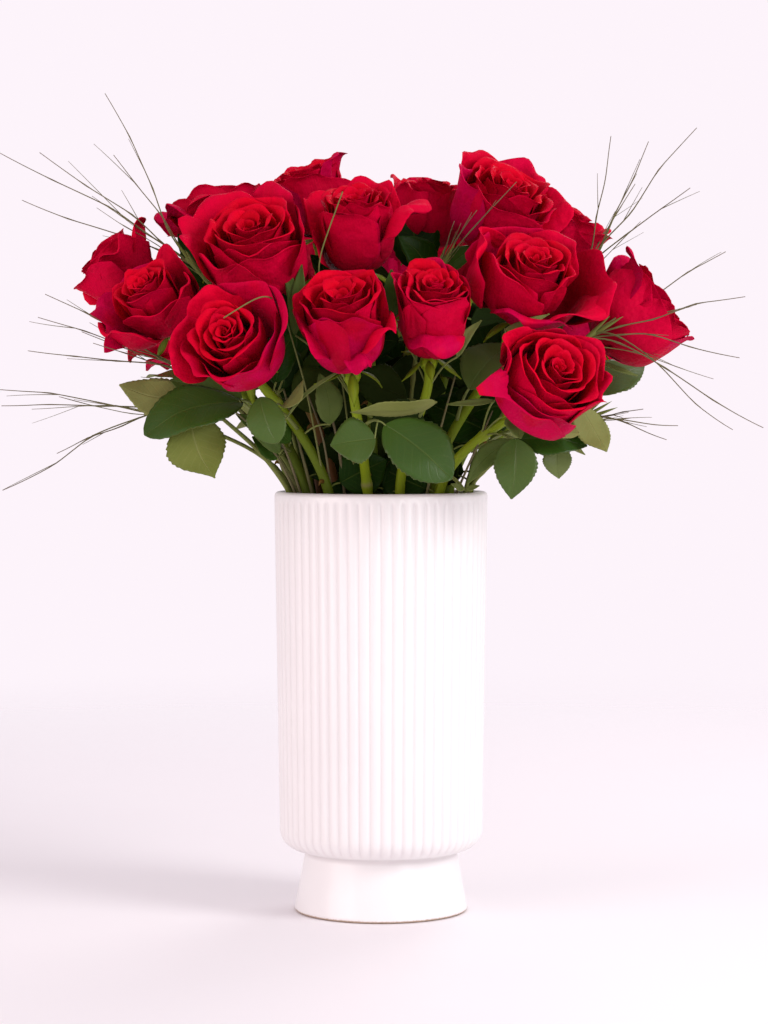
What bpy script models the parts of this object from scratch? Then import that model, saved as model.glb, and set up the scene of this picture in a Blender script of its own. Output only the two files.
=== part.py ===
"""Twenty red roses with their leaves and sprays of wiry grass, standing in a footed ceramic vase.

Metres, +Z up. The origin is the centre of the vase's foot, on the surface that it stands on,
and -Y is the side of the bunch that faces the room.
"""

import math

import bmesh
import bpy
import numpy as np
from mathutils import Matrix, Vector

MM = 0.001
GAP = 0.4 * MM  # between pieces that touch

# The vase: a slip-cast cylinder on a flared foot.
VASE_HEIGHT = 256 * MM
RIM_RADIUS = 65 * MM
BODY_FOOT_RADIUS = 62 * MM
SHOULDER_RADIUS = 12.5 * MM
FOOT_HEIGHT = 36 * MM
NECK_RADIUS = 46.5 * MM
FOOT_RADIUS = 52.8 * MM
WALL = 5.5 * MM
FLOOR = 8 * MM
VASE_STEPS = 32

# The roses: cut stems that spread from the vase's floor, through its mouth, to the heads.
STEM_RADIUS = 3.4 * MM
NECK_OF_STEM = 2.7 * MM
HIP_RADIUS = 5.4 * MM
HIP_HEIGHT = 11 * MM
SEPAL_LENGTH = 15 * MM
HEAD_CENTRE = 0.52  # of the head's height, from its base
MOUTH_SHARE = 0.335  # a stem's distance from the axis at the rim, as a share of its head's
FLOOR_SHARE = 0.21
FLOOR_TURN = math.radians(70)  # the stems cross in a spiral, as in a hand-tied bunch

# Each head: centre in mm, the way it faces, and its width and height in mm.
HEADS = [
    ((-154, 0, 393), (-0.74, 0.02, 0.64), 56, 46),
    ((-132, -62, 366), (-0.30, -0.85, 0.42), 60, 44),
    ((-89, -98, 346), (-0.25, -0.88, 0.40), 70, 50),
    ((-77, -54, 402), (-0.12, -0.62, 0.78), 74, 52),
    ((-107, 18, 419), (-0.40, 0.05, 0.90), 62, 46),
    ((-42, 12, 435), (-0.05, -0.05, 1.00), 62, 48),
    ((-12, -50, 414), (-0.10, -0.45, 0.89), 66, 55),
    ((27, 24, 426), (0.10, 0.10, 0.98), 52, 46),
    ((-22, -101, 351), (-0.13, -0.57, 0.81), 65, 60),
    ((31, -91, 362), (0.00, -0.56, 0.83), 51, 62),
    ((76, -10, 425), (0.37, -0.50, 0.79), 68, 54),
    ((112, 36, 413), (0.45, -0.20, 0.82), 52, 44),
    ((86, -58, 383), (0.07, -0.68, 0.73), 80, 50),
    ((99, -87, 324), (0.40, -0.78, 0.48), 68, 50),
    ((154, -20, 356), (0.80, 0.05, 0.58), 64, 54),
    ((-124, 62, 367), (-0.70, 0.45, 0.55), 60, 50),
    ((-62, 82, 400), (-0.30, 0.60, 0.75), 66, 54),
    ((5, 98, 384), (0.00, 0.75, 0.65), 66, 54),
    ((70, 84, 396), (0.35, 0.60, 0.70), 64, 54),
    ((121, 78, 348), (0.65, 0.60, 0.45), 62, 50),
]

# A head's outline from its base to its heart, as shares of its half width and its height.
HEAD_OUTLINE = [(0.17, 0.012), (0.56, 0.10), (0.86, 0.33), (0.95, 0.62), (1.0, 0.88), (0.62, 0.90), (0.30, 1.0)]
HEAD_SIDES = 12
PETAL_LOBES = 5

# Each leaf: the rose that bears it, how far up that stem it springs, where its stalk ends, the way its upper
# side faces, and its leaflets: how far along the stalk each one is, its tip and its width. All in mm.
LEAVES = [
    (2, 300, (-90, -60, 311), (-0.2, -0.75, 0.65), [(1, (-136, -86, 290), 33), (0.7, (-100, -92, 266), 32),
                                                     (0.8, (-155, -62, 319), 26), (0.9, (-114, -58, 326), 19)]),
    (3, 292, (-64, -78, 306), (-0.1, -0.80, 0.60), [(1, (-63, -94, 286), 21), (0.6, (-45, -86, 319), 13)]),
    (9, 294, (-2, -84, 301), (0.0, -0.90, 0.45), [(1, (38, -98, 265), 32), (0.85, (-23, -94, 280), 23)]),
    (10, 303, (32, -86, 310), (0.0, 0.45, 0.90), [(1, (-14, -90, 306), 19)]),
    (13, 300, (52, -50, 318), (-0.1, -0.75, 0.65), [(1, (75, -46, 346), 30)]),
    (14, 284, (112, -56, 299), (0.0, -0.80, 0.60), [(1, (131, -64, 281), 19), (0.5, (124, -80, 292), 22),
                                                     (0.15, (78, -78, 255), 22), (0.6, (106, -61, 267), 12)]),
    (15, 300, (128, 16, 316), (0.3, -0.50, 0.80), [(1, (164, 34, 336), 26), (0.6, (130, 50, 312), 22),
                                                    (0.5, (104, 34, 296), 22)]),
    (1, 306, (-116, 18, 322), (-0.4, 0.10, 0.90), [(1, (-146, 34, 328), 24), (0.6, (-112, 50, 308), 22),
                                                    (0.6, (-130, 2, 304), 20)]),
    (17, 300, (-64, 84, 312), (-0.2, 0.40, 0.90), [(1, (-86, 124, 300), 28), (0.6, (-36, 102, 300), 24),
                                                    (0.6, (-94, 84, 296), 24)]),
    (18, 292, (8, 90, 304), (0.0, 0.40, 0.90), [(1, (14, 136, 290), 28), (0.6, (42, 104, 290), 24),
                                                 (0.6, (-22, 114, 282), 24)]),
    (20, 286, (104, 78, 300), (0.3, 0.30, 0.90), [(1, (140, 104, 284), 28), (0.6, (84, 110, 284), 24),
                                                   (0.6, (130, 64, 280), 24)]),
]
STALK_RADIUS = 1.1 * MM
BLADE_THICKNESS = 0.9 * MM
BLADE_FOLD = 0.18  # how much a blade's sides rise from its midrib
BLADE_ARCH = 0.07  # how far its middle rises, as a share of its length

# Each spray of wiry grass: where its stem branches, in mm, and the tips of its branches.
SPRAYS = [
    ((-118, -8, 401), [(-168, 4, 498), (-234, 10, 463), (-205, -20, 460), (-220, 14, 434), (-160, -26, 458)]),
    ((-114, -40, 330), [(-196, -70, 373), (-202, -56, 360), (-206, -72, 340), (-166, -90, 344), (-178, -40, 352)]),
    ((-128, -30, 306), [(-232, -34, 318), (-230, -10, 308), (-224, -50, 258), (-190, -66, 280)]),
    ((128, 6, 392), [(192, 2, 477), (164, 16, 470), (139, -8, 471), (186, -18, 439), (158, 40, 446)]),
    ((122, -50, 358), [(214, -60, 372), (206, -30, 400), (210, -66, 336), (226, -52, 295), (204, -84, 294)]),
    ((126, -34, 303), [(168, -60, 288), (152, -84, 306), (180, -10, 296)]),
    ((38, -48, 392), [(43, -64, 416), (56, -68, 422), (80, -50, 440)]),
    ((-20, 100, 322), [(-84, 176, 372), (-10, 190, 402), (64, 180, 360), (-40, 172, 296), (30, 170, 318)]),
]
GRASS_RADIUS = 1.5 * MM
JOINT_RADIUS = 2.1 * MM
WIRE_RADIUS = 0.55 * MM

# How densely paths are followed while they find room for themselves.
PATH_STEP = 8 * MM
ROUNDS = 140
OPENING = 15 * MM  # how far above the rim the vase still holds the stems together


# Scene, materials and shapes -----------------------------------------------------------------


def clear_scene():
    for old in list(bpy.data.objects):
        bpy.data.objects.remove(old)


def new_collection(name, parent):
    made = bpy.data.collections.new(name)
    parent.children.link(made)
    return made


def finish_of(name, colour, roughness):
    made = bpy.data.materials.new(name)
    made.use_nodes = True
    shader = made.node_tree.nodes["Principled BSDF"]
    shader.inputs["Base Color"].default_value = (*colour, 1)
    shader.inputs["Roughness"].default_value = roughness
    shader.inputs["Metallic"].default_value = 0
    return made


def mesh_object(name, mesh, finish, home):
    made = bpy.data.objects.new(name, mesh)
    home.objects.link(made)
    mesh.materials.clear()
    mesh.materials.append(finish)
    mesh.shade_smooth()
    mesh.set_sharp_from_angle(angle=math.radians(50))
    return made


def arc(centre_r, centre_z, radius, start, end, count):
    """Points of an arc in the (r, z) plane, its angles in degrees from +r."""
    angles = np.radians(np.linspace(start, end, count))
    return [(centre_r + radius * math.cos(a), centre_z + radius * math.sin(a)) for a in angles]


def turned(name, outline, steps, finish, home):
    """An outline of (r, z) points, from the axis and back to it, turned once round Z."""
    mesh = bpy.data.meshes.new(name)
    edges = [(i, i + 1) for i in range(len(outline) - 1)]
    mesh.from_pydata([(r, 0, z) for r, z in outline], edges, [])
    made = mesh_object(name, mesh, finish, home)
    screw = made.modifiers.new("turn", "SCREW")
    screw.steps = steps
    screw.render_steps = steps
    screw.use_merge_vertices = True
    screw.merge_threshold = 0.00001
    return made


def ball_mesh(name, sides, rings, shape):
    """A UV sphere whose points go where shape(height share 0 to 1, angle round Z, ring number) says."""
    shell = bmesh.new()
    bmesh.ops.create_uvsphere(shell, u_segments=sides, v_segments=rings + 1, radius=1)
    for point in shell.verts:
        polar = math.acos(max(-1.0, min(1.0, -point.co.z)))
        ring = round(polar / math.pi * (rings + 1))
        point.co = Vector(shape(polar / math.pi, math.atan2(point.co.y, point.co.x), ring))
    mesh = bpy.data.meshes.new(name)
    shell.to_mesh(mesh)
    shell.free()
    return mesh


def tube_mesh(name, points, radii, fineness):
    """A tube along points, each with its own radius, as a mesh with its caps welded on."""
    line = bpy.data.curves.new(name, "CURVE")
    line.dimensions = "3D"
    line.bevel_depth = 1.0
    line.bevel_resolution = fineness
    line.use_fill_caps = True
    run = line.splines.new("POLY")
    run.points.add(len(points) - 1)
    for spot, place, radius in zip(run.points, points, radii):
        spot.co = (*place, 1)
        spot.radius = radius
    guide = bpy.data.objects.new(name, line)
    bpy.context.scene.collection.objects.link(guide)
    graph = bpy.context.evaluated_depsgraph_get()
    mesh = bpy.data.meshes.new_from_object(guide.evaluated_get(graph))
    shell = bmesh.new()
    shell.from_mesh(mesh)
    bmesh.ops.remove_doubles(shell, verts=shell.verts, dist=0.00001)
    bmesh.ops.recalc_face_normals(shell, faces=shell.faces)
    shell.to_mesh(mesh)
    shell.free()
    bpy.data.objects.remove(guide)
    bpy.data.curves.remove(line)
    return mesh


def grown_together(name, meshes, finish, home, joined):
    """One object from a body and the shapes that grow out of it, by a Boolean union."""
    made = mesh_object(name, meshes[0], finish, home)
    group = new_collection(name + "_limbs", joined)
    for number, mesh in enumerate(meshes[1:], 1):
        limb = mesh_object(f"{name}_limb_{number}", mesh, finish, group)
        limb.hide_render = True
        limb.display_type = "WIRE"
    union = made.modifiers.new("grown together", "BOOLEAN")
    union.operation = "UNION"
    union.solver = "EXACT"
    union.operand_type = "COLLECTION"
    union.collection = group
    return made


def frame_along(direction, up=(0, 0, 1)):
    """A rotation whose Z lies along direction and whose Y is as near up as it can be."""
    z = Vector(direction).normalized()
    x = Vector(up).cross(z)
    if x.length < 1e-6:
        x = Vector((1, 0, 0))
    x.normalize()
    return Matrix((x, z.cross(x), z)).transposed()


# Paths that find room for themselves ---------------------------------------------------------


def smooth_path(start, start_way, end, end_way):
    """Points every PATH_STEP along a Hermite curve."""
    t = np.linspace(0, 1, 200)[:, None]
    curve = (
        (2 * t**3 - 3 * t**2 + 1) * start
        + (t**3 - 2 * t**2 + t) * start_way
        + (-2 * t**3 + 3 * t**2) * end
        + (t**3 - t**2) * end_way
    )
    return evenly(curve, PATH_STEP)


def lengths_along(points):
    return np.concatenate([[0], np.cumsum(np.linalg.norm(np.diff(points, axis=0), axis=1))])


def at_lengths(points, lengths):
    along = lengths_along(points)
    return np.stack([np.interp(lengths, along, points[:, k]) for k in range(3)], axis=1)


def evenly(points, step):
    total = lengths_along(points)[-1]
    return at_lengths(points, np.linspace(0, total, max(3, round(total / step) + 1)))


def vase_room(z):
    """The vase's inside radius at a height, a wide opening at its rim, and no bound above that."""
    inner_foot = BODY_FOOT_RADIUS - WALL - 0.6 * MM
    inner_neck = NECK_RADIUS - WALL - 0.6 * MM
    body = inner_foot + (RIM_RADIUS - BODY_FOOT_RADIUS) * (z - FOOT_HEIGHT) / (VASE_HEIGHT - FOOT_HEIGHT)
    room = np.where(z < FOOT_HEIGHT + SHOULDER_RADIUS, inner_neck, body)
    over_lip = np.clip(z - VASE_HEIGHT, 0, None)
    return np.where(over_lip > OPENING, 1.0, room + over_lip)


def pushed_apart(paths, radii, held, solid_points, solid_radii, room):
    """Moves paths sideways until they clear each other, the heads and the vase, and keeps their bends smooth.

    held is the number of points at each path's start and end that stay put. solid_points are fixed
    balls of solid_radii, with each path's own ball given a radius of 0. room(z) is how far from the
    axis a path's surface may be.
    """
    rest = np.concatenate(paths)
    owner = np.repeat(np.arange(len(paths)), [len(p) for p in paths])
    thick = np.concatenate([np.full(len(p), r) for p, r in zip(paths, radii)])
    free = np.ones(len(rest))
    first = 0
    for path, (start, end) in zip(paths, held):
        free[first : first + start] = 0
        free[first + len(path) - end : first + len(path)] = 0
        first += len(path)
    starts = np.concatenate([[0], np.cumsum([len(p) for p in paths])[:-1]])
    same_path = owner[:, None] == owner[None, :]
    reach = thick[:, None] + thick[None, :] + 1.4 * MM
    shift = np.zeros_like(rest)
    inner = (owner[1:-1] == owner[:-2]) & (owner[1:-1] == owner[2:])
    for _ in range(ROUNDS):
        place = rest + shift
        apart = place[:, None, :] - place[None, :, :]
        distance = np.linalg.norm(apart, axis=2) + 1e-9
        overlap = np.where(same_path, 0, np.clip(reach - distance, 0, None))
        push = (apart / distance[:, :, None] * overlap[:, :, None]).sum(1) * 0.35
        for k, centre in enumerate(solid_points):
            away = place - centre
            far = np.linalg.norm(away, axis=1) + 1e-9
            clear = np.where(solid_radii[owner, k] > 0, solid_radii[owner, k] + thick, 0)
            push += away / far[:, None] * np.clip(clear - far, 0, None)[:, None] * 0.5
        from_axis = np.linalg.norm(place[:, :2], axis=1) + 1e-9
        too_wide = np.clip(from_axis - (room(place[:, 2]) - thick - GAP), 0, None)
        push[:, :2] -= place[:, :2] / from_axis[:, None] * too_wide[:, None]
        shift += push * free[:, None]
        even = shift.copy()
        even[1:-1][inner] = 0.5 * shift[1:-1][inner] + 0.25 * (shift[:-2][inner] + shift[2:][inner])
        shift = even * free[:, None]
        shift[starts, 2] = 0
    place = rest + shift
    return [place[owner == k] for k in range(len(paths))]


# The vase ------------------------------------------------------------------------------------


def vase_outline():
    lip = WALL / 2
    bottom_inner = BODY_FOOT_RADIUS - WALL
    neck_inner = NECK_RADIUS - WALL
    shoulder_top = FOOT_HEIGHT + 1.5 * MM + SHOULDER_RADIUS
    inside = [(0, FLOOR), (neck_inner - 4 * MM, FLOOR)]
    inside += arc(neck_inner - 4 * MM, FLOOR + 4 * MM, 4 * MM, -60, 0, 2)
    inside += [(neck_inner, FOOT_HEIGHT + 5 * MM)]
    inside += arc(bottom_inner - 7 * MM, shoulder_top + 1 * MM, 7 * MM, -60, 0, 3)
    rim = arc(RIM_RADIUS - lip, VASE_HEIGHT - lip, lip, 180, 0, 7)
    outside = arc(BODY_FOOT_RADIUS - SHOULDER_RADIUS, shoulder_top, SHOULDER_RADIUS, 0, -84, 5)
    foot = [
        (NECK_RADIUS, FOOT_HEIGHT),
        (NECK_RADIUS + 0.3 * MM, FOOT_HEIGHT - 2 * MM),
        (FOOT_RADIUS, 1.2 * MM),
        (FOOT_RADIUS - 1.0 * MM, 0),
        (0, 0),
    ]
    return inside + rim + outside + foot


# The heads -----------------------------------------------------------------------------------


def head_geometry():
    """Each head's centre, facing, half width, height and base, in metres."""
    found = []
    for centre, facing, width, height in HEADS:
        way = np.array(facing) / np.linalg.norm(facing)
        middle = np.array(centre) * MM
        found.append((middle, way, width * MM / 2, height * MM, middle - way * HEAD_CENTRE * height * MM))
    return found


def pressed(place, own, heads):
    """Where a point of one head goes when its neighbours press on it: short of the plane between the two."""
    centre, _, half, _, _ = heads[own]
    yielding = 7 * MM
    for k, (other, _, other_half, _, _) in enumerate(heads):
        if k == own:
            continue
        between = other - centre
        span = np.linalg.norm(between)
        way = between / span
        limit = span * half / (half + other_half) - 1.5 * GAP - yielding
        beyond = float((place - centre) @ way) - limit
        if beyond > 0:
            place = place - way * (beyond - yielding * (1 - math.exp(-beyond / yielding)))
    return place


def make_head(number, heads, finish, home):
    centre, way, half, height, base = heads[number]
    turn = frame_along(way)
    outline = [(0, 0), *HEAD_OUTLINE, (0, 0.97)]
    sway = 2.4 * number

    def shape(_, angle, ring):
        radius, rise = outline[ring]
        lobes = 1 + 0.05 * min(1, ring / 4) * math.cos(PETAL_LOBES * angle + sway)
        across = half * radius * lobes
        local = Vector((across * math.cos(angle), across * math.sin(angle), height * rise + GAP))
        return pressed(base + np.array(turn @ local), number, heads)

    mesh = ball_mesh("head", HEAD_SIDES, len(HEAD_OUTLINE), shape)
    return mesh_object(f"rose_{number + 1:02d}_head", mesh, finish, home)


# The stems -----------------------------------------------------------------------------------


def stem_paths(heads):
    """Each rose stem's path, from the vase's floor through its mouth to the head's base."""
    paths = []
    for centre, way, _, _, base in heads:
        turn = np.array(((math.cos(FLOOR_TURN), -math.sin(FLOOR_TURN)), (math.sin(FLOOR_TURN), math.cos(FLOOR_TURN))))
        foot = np.array((*(turn @ centre[:2] * FLOOR_SHARE), FLOOR))
        mouth = np.array((*(centre[:2] * MOUTH_SHARE), VASE_HEIGHT - 4 * MM))
        lean = np.linalg.norm(mouth[:2] - foot[:2]) / (mouth[2] - foot[2])
        foot[2] += GAP + STEM_RADIUS * lean
        rise = (mouth - foot) / np.linalg.norm(mouth - foot)
        span = np.linalg.norm(base - mouth)
        upper = smooth_path(mouth, rise * span, base, way * span * 0.9)
        lower = evenly(np.stack([foot, mouth]), PATH_STEP)
        paths.append(evenly(np.concatenate([lower[:-1], upper]), PATH_STEP))
    return paths


def sepal_star(base, way, turn_by):
    """A thin five-pointed star under the head, whose points are the sepals."""
    turn = frame_along(way)

    def shape(_, angle, ring):
        tip = round(angle / (math.pi / 5)) % 2 == 0
        radius = {0: 0, 1: 4.5 * MM, 2: SEPAL_LENGTH if tip else 6 * MM, 3: 5.5 * MM, 4: 0}[4 - ring]
        thick = {0: 0.7, 1: 0.7, 2: 0, 3: -0.9, 4: -0.9}[4 - ring] * MM
        sag = 4 * MM * (radius / SEPAL_LENGTH) ** 2
        around = angle + turn_by
        local = Vector((radius * math.cos(around), radius * math.sin(around), thick - sag - 2 * MM))
        return Vector(base) + turn @ local

    return ball_mesh("sepals", 10, 3, shape)


def stem_radius(share):
    """How thick a rose stem is at a share of its length."""
    return STEM_RADIUS + (NECK_OF_STEM - STEM_RADIUS) * share**2


def make_stem(number, path, head, finish, home, joined):
    """The stem with the hip that carries the head and the sepals round it."""
    _, way, _, _, base = head
    total = lengths_along(path)[-1]
    hip = np.array((total - HIP_HEIGHT, total - 0.55 * HIP_HEIGHT, total - 0.2 * HIP_HEIGHT, total))
    in_vase = lengths_along(path)[int(np.argmax(path[:, 2] > VASE_HEIGHT))]
    free = np.linspace(in_vase, total - 2 * HIP_HEIGHT, 5)
    lengths = np.concatenate([np.linspace(0, in_vase, 4)[:-1], free, hip])
    radii = stem_radius(lengths / total)
    radii[-3:] = (0.8 * HIP_RADIUS, HIP_RADIUS, 0.8 * HIP_RADIUS)
    body = tube_mesh("stem", at_lengths(path, lengths), radii, 1)
    sepals = sepal_star(base, way, 1.7 * number)
    return grown_together(f"rose_{number + 1:02d}_stem", [body, sepals], finish, home, joined)


# The leaves ----------------------------------------------------------------------------------


def blade_mesh(root, tip, up, width):
    """A leaflet: a thin pointed blade that folds a little along its midrib and arches from root to tip."""
    turn = frame_along(tip - root, up)
    length = (tip - root).length

    def shape(share, angle, _):
        along = (1 - math.cos(math.pi * share)) / 2
        half = width / 2 * math.sin(math.pi * along**0.85) ** 0.8
        side = half * math.cos(angle)
        thick = BLADE_THICKNESS / 2 * math.sin(angle) * min(1, 8 * half / width)
        arch = BLADE_ARCH * length * math.sin(math.pi * along)
        return root + turn @ Vector((side, thick + BLADE_FOLD * abs(side) + arch, length * along))

    return ball_mesh("blade", 6, 6, shape)


def make_leaf(number, spec, paths, finish, home, joined):
    """A stalk that leaves its stem, with a leaflet at its end and others along it."""
    rose, height, stalk_end, up, leaflets = spec
    end = Vector(stalk_end) * MM
    path = paths[rose - 1]
    near = int(np.argmin(np.abs(path[:, 2] - height * MM)))
    thick = stem_radius(near / len(path))
    along = Vector(path[near + 1] - path[near - 1]).normalized()
    way = end - Vector(path[near])
    out = (way - along * way.dot(along)).normalized()
    start = Vector(path[near]) + out * (thick + STALK_RADIUS + 0.15 * MM)
    middle = (start + end) / 2 + Vector((0, 0, 0.12)) * (end - start).length
    line = [start, start.lerp(middle, 0.6), middle.lerp(end, 0.4), end]
    radii = [STALK_RADIUS, STALK_RADIUS, 0.9 * STALK_RADIUS, 0.7 * STALK_RADIUS]
    meshes = [tube_mesh("stalk", line, radii, 0)]
    for share, tip, width in leaflets:
        joint = Vector(at_lengths(np.array(line), [share * lengths_along(np.array(line))[-1]])[0])
        tip = Vector(tip) * MM
        root = joint - (tip - joint).normalized() * STALK_RADIUS
        meshes.append(blade_mesh(root, tip, up, width * MM))
    return grown_together(f"leaf_{number + 1:02d}", meshes, finish, home, joined)


# The grass -----------------------------------------------------------------------------------


def grass_stem_paths():
    """Each spray's stem, from the vase's floor to where it branches."""
    paths = []
    for crown, _ in SPRAYS:
        top = np.array(crown) * MM
        foot = np.array((*(top[:2] * 0.26), FLOOR + 2 * GAP))
        mouth = np.array((*(top[:2] * 0.40), VASE_HEIGHT - 4 * MM))
        rise = (mouth - foot) / np.linalg.norm(mouth - foot)
        span = np.linalg.norm(top - mouth)
        out = np.array((*top[:2], 0)) / np.linalg.norm(top[:2])
        upper = smooth_path(mouth, rise * span, top, (out + np.array((0, 0, 0.8))) * span * 0.6)
        lower = evenly(np.stack([foot, mouth]), PATH_STEP)
        paths.append(evenly(np.concatenate([lower[:-1], upper]), PATH_STEP))
    return paths


def wire_paths(stem, tips):
    """The fine branches of one spray: each leaves the stem's end, one after another, and bows over to its tip."""
    total = lengths_along(stem)[-1]
    wires = []
    for number, tip in enumerate(tips):
        start = at_lengths(stem, [total - 2 * MM - 4 * MM * number])[0]
        before = at_lengths(stem, [total - 10 * MM - 4 * MM * number])[0]
        end = np.array(tip) * MM
        span = np.linalg.norm(end - start)
        leave = (start - before) / np.linalg.norm(start - before)
        wires.append(smooth_path(start, (leave + (end - start) / span) * span * 0.6, end, (end - start) * 0.8))
    return wires


def make_spray(number, stem, wires, finish, home, joined):
    total = lengths_along(stem)[-1]
    lengths = np.concatenate([np.linspace(0, total - 30 * MM, 12), total - np.array((22, 12, 4, 0)) * MM])
    radii = np.full(len(lengths), GRASS_RADIUS)
    radii[-4:] = (JOINT_RADIUS, JOINT_RADIUS, GRASS_RADIUS, 0.6 * GRASS_RADIUS)
    meshes = [tube_mesh("grass", at_lengths(stem, lengths), radii, 0)]
    for wire in wires:
        line = evenly(wire, 20 * MM)
        taper = np.linspace(WIRE_RADIUS, 0.6 * WIRE_RADIUS, len(line))
        meshes.append(tube_mesh("wire", line, taper, 0))
    return grown_together(f"grass_{number + 1}", meshes, finish, home, joined)


# The whole bunch -----------------------------------------------------------------------------


def ball_radii(count, heads, own=None):
    """How wide each head is to each path; a path's own head doesn't push it."""
    wide = np.tile([1.2 * half + 1.5 * MM for _, _, half, _, _ in heads], (count, 1))
    if own is not None:
        wide[np.arange(count), own] = 0
    return wide


def main():
    clear_scene()
    bunch = new_collection("roses_in_a_vase", bpy.context.scene.collection)
    joined = new_collection("joined_shapes", bpy.context.scene.collection)
    ceramic = finish_of("white glazed ceramic", (0.86, 0.83, 0.82), 0.35)
    petals = finish_of("crimson petals", (0.50, 0.004, 0.022), 0.6)
    green = finish_of("green stems", (0.12, 0.22, 0.03), 0.5)
    foliage = finish_of("leaves", (0.035, 0.11, 0.02), 0.4)
    straw = finish_of("wiry grass", (0.20, 0.20, 0.09), 0.7)

    turned("vase", vase_outline(), VASE_STEPS, ceramic, bunch)
    heads = head_geometry()
    centres = [centre for centre, _, _, _, _ in heads]

    roses = stem_paths(heads)
    grasses = grass_stem_paths()
    stems = roses + grasses
    radii = [STEM_RADIUS] * len(roses) + [GRASS_RADIUS + 0.5 * MM] * len(grasses)
    wide = np.concatenate([ball_radii(len(roses), heads, np.arange(len(roses))), ball_radii(len(grasses), heads)])
    held = [(0, 2)] * len(roses) + [(0, 0)] * len(grasses)
    stems = pushed_apart(stems, radii, held, centres, wide, vase_room)
    roses, grasses = stems[: len(roses)], stems[len(roses) :]

    for number, head in enumerate(heads):
        make_head(number, heads, petals, bunch)
        make_stem(number, roses[number], head, green, bunch, joined)
    for number, spec in enumerate(LEAVES):
        make_leaf(number, spec, roses, foliage, bunch, joined)

    sprays = [wire_paths(stem, tips) for stem, (_, tips) in zip(grasses, SPRAYS)]
    wires = [wire for spray in sprays for wire in spray]
    count = len(wires)
    wide = ball_radii(count, heads)
    wires = pushed_apart(wires, [WIRE_RADIUS] * count, [(2, 0)] * count, centres, wide, lambda z: 1.0)
    for number, spray in enumerate(sprays):
        make_spray(number, grasses[number], wires[: len(spray)], straw, bunch, joined)
        wires = wires[len(spray) :]


main()
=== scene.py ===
import math

import bpy
import numpy as np
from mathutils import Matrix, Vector


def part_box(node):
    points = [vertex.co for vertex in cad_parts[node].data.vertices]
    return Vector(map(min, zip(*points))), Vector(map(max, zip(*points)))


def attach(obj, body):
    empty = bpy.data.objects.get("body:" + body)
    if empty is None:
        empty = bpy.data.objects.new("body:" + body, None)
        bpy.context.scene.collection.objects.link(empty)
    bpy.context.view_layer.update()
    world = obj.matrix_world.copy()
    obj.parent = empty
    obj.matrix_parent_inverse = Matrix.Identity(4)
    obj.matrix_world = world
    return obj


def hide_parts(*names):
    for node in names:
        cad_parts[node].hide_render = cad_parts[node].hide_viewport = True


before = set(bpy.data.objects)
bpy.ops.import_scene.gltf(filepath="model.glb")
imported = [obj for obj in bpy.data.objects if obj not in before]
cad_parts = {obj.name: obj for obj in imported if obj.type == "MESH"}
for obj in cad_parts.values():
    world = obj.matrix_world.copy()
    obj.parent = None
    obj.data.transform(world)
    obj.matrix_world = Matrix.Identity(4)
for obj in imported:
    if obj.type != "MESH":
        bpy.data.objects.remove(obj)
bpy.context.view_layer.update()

# Twenty red roses, with their leaves and sprays of wiry grass, in a ribbed ceramic vase on a flared foot.

# The vase --------------------------------------------------
# Slip-cast stoneware with a satin white glaze: a tall cylinder, reeded from just under its lip to
# its shoulder, on a plain flared foot. The foot's very edge is wiped clean of glaze and shows the clay.

_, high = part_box("vase")
VASE_HEIGHT = high.z
VASE_RADIUS = high.x
TAPER = 0.003
BODY_FOOT_RADIUS = VASE_RADIUS - TAPER
SHOULDER_RADIUS = 0.0125
FOOT_HEIGHT = 0.036
LEDGE = 0.0015
NECK_RADIUS = 0.0465
FOOT_RADIUS = 0.0528
WALL = 0.0055
FLOOR = 0.008
NEAR_AXIS = 0.0005
RIBS = 60
RIB_DEPTH = 0.00095
PLAIN_LIP = 0.0042
POINTS_PER_RIB = 8

# A face's corners in the other order, from the same first one.
BACKWARDS = (0, 3, 2, 1)


def joined(operation, swapped=False):
    """A method of Link that joins it with another value, in that order or the other way round."""
    if swapped:
        return lambda self, other: self.maths(operation, other, self)
    return lambda self, other: self.maths(operation, self, other)


class Link:
    """An output of a shader node. Sums, products and the like of links and numbers add their Math nodes."""

    def __init__(self, finish, socket):
        self.finish, self.socket = finish, socket

    def maths(self, operation, *values, clamp=False):
        return self.finish.add("ShaderNodeMath", dict(operation=operation, use_clamp=clamp), *values)

    __add__, __radd__ = joined("ADD"), joined("ADD", swapped=True)
    __sub__, __rsub__ = joined("SUBTRACT"), joined("SUBTRACT", swapped=True)
    __mul__, __rmul__ = joined("MULTIPLY"), joined("MULTIPLY", swapped=True)
    __truediv__, __pow__ = joined("DIVIDE"), joined("POWER")

    def __mod__(self, other):
        return self.maths("FRACT", self.maths("DIVIDE", self, other))

    def __abs__(self):
        return self.maths("ABSOLUTE", self)

    def held(self):
        """The value kept between 0 and 1."""
        return self.maths("ADD", self, 0, clamp=True)

    def step(self, start, end):
        """0 below start, 1 above end, and a smooth rise between them."""
        ramp = dict(interpolation_type="SMOOTHSTEP")
        return self.finish.add("ShaderNodeMapRange", ramp, self, start, end, 0, 1)


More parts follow.
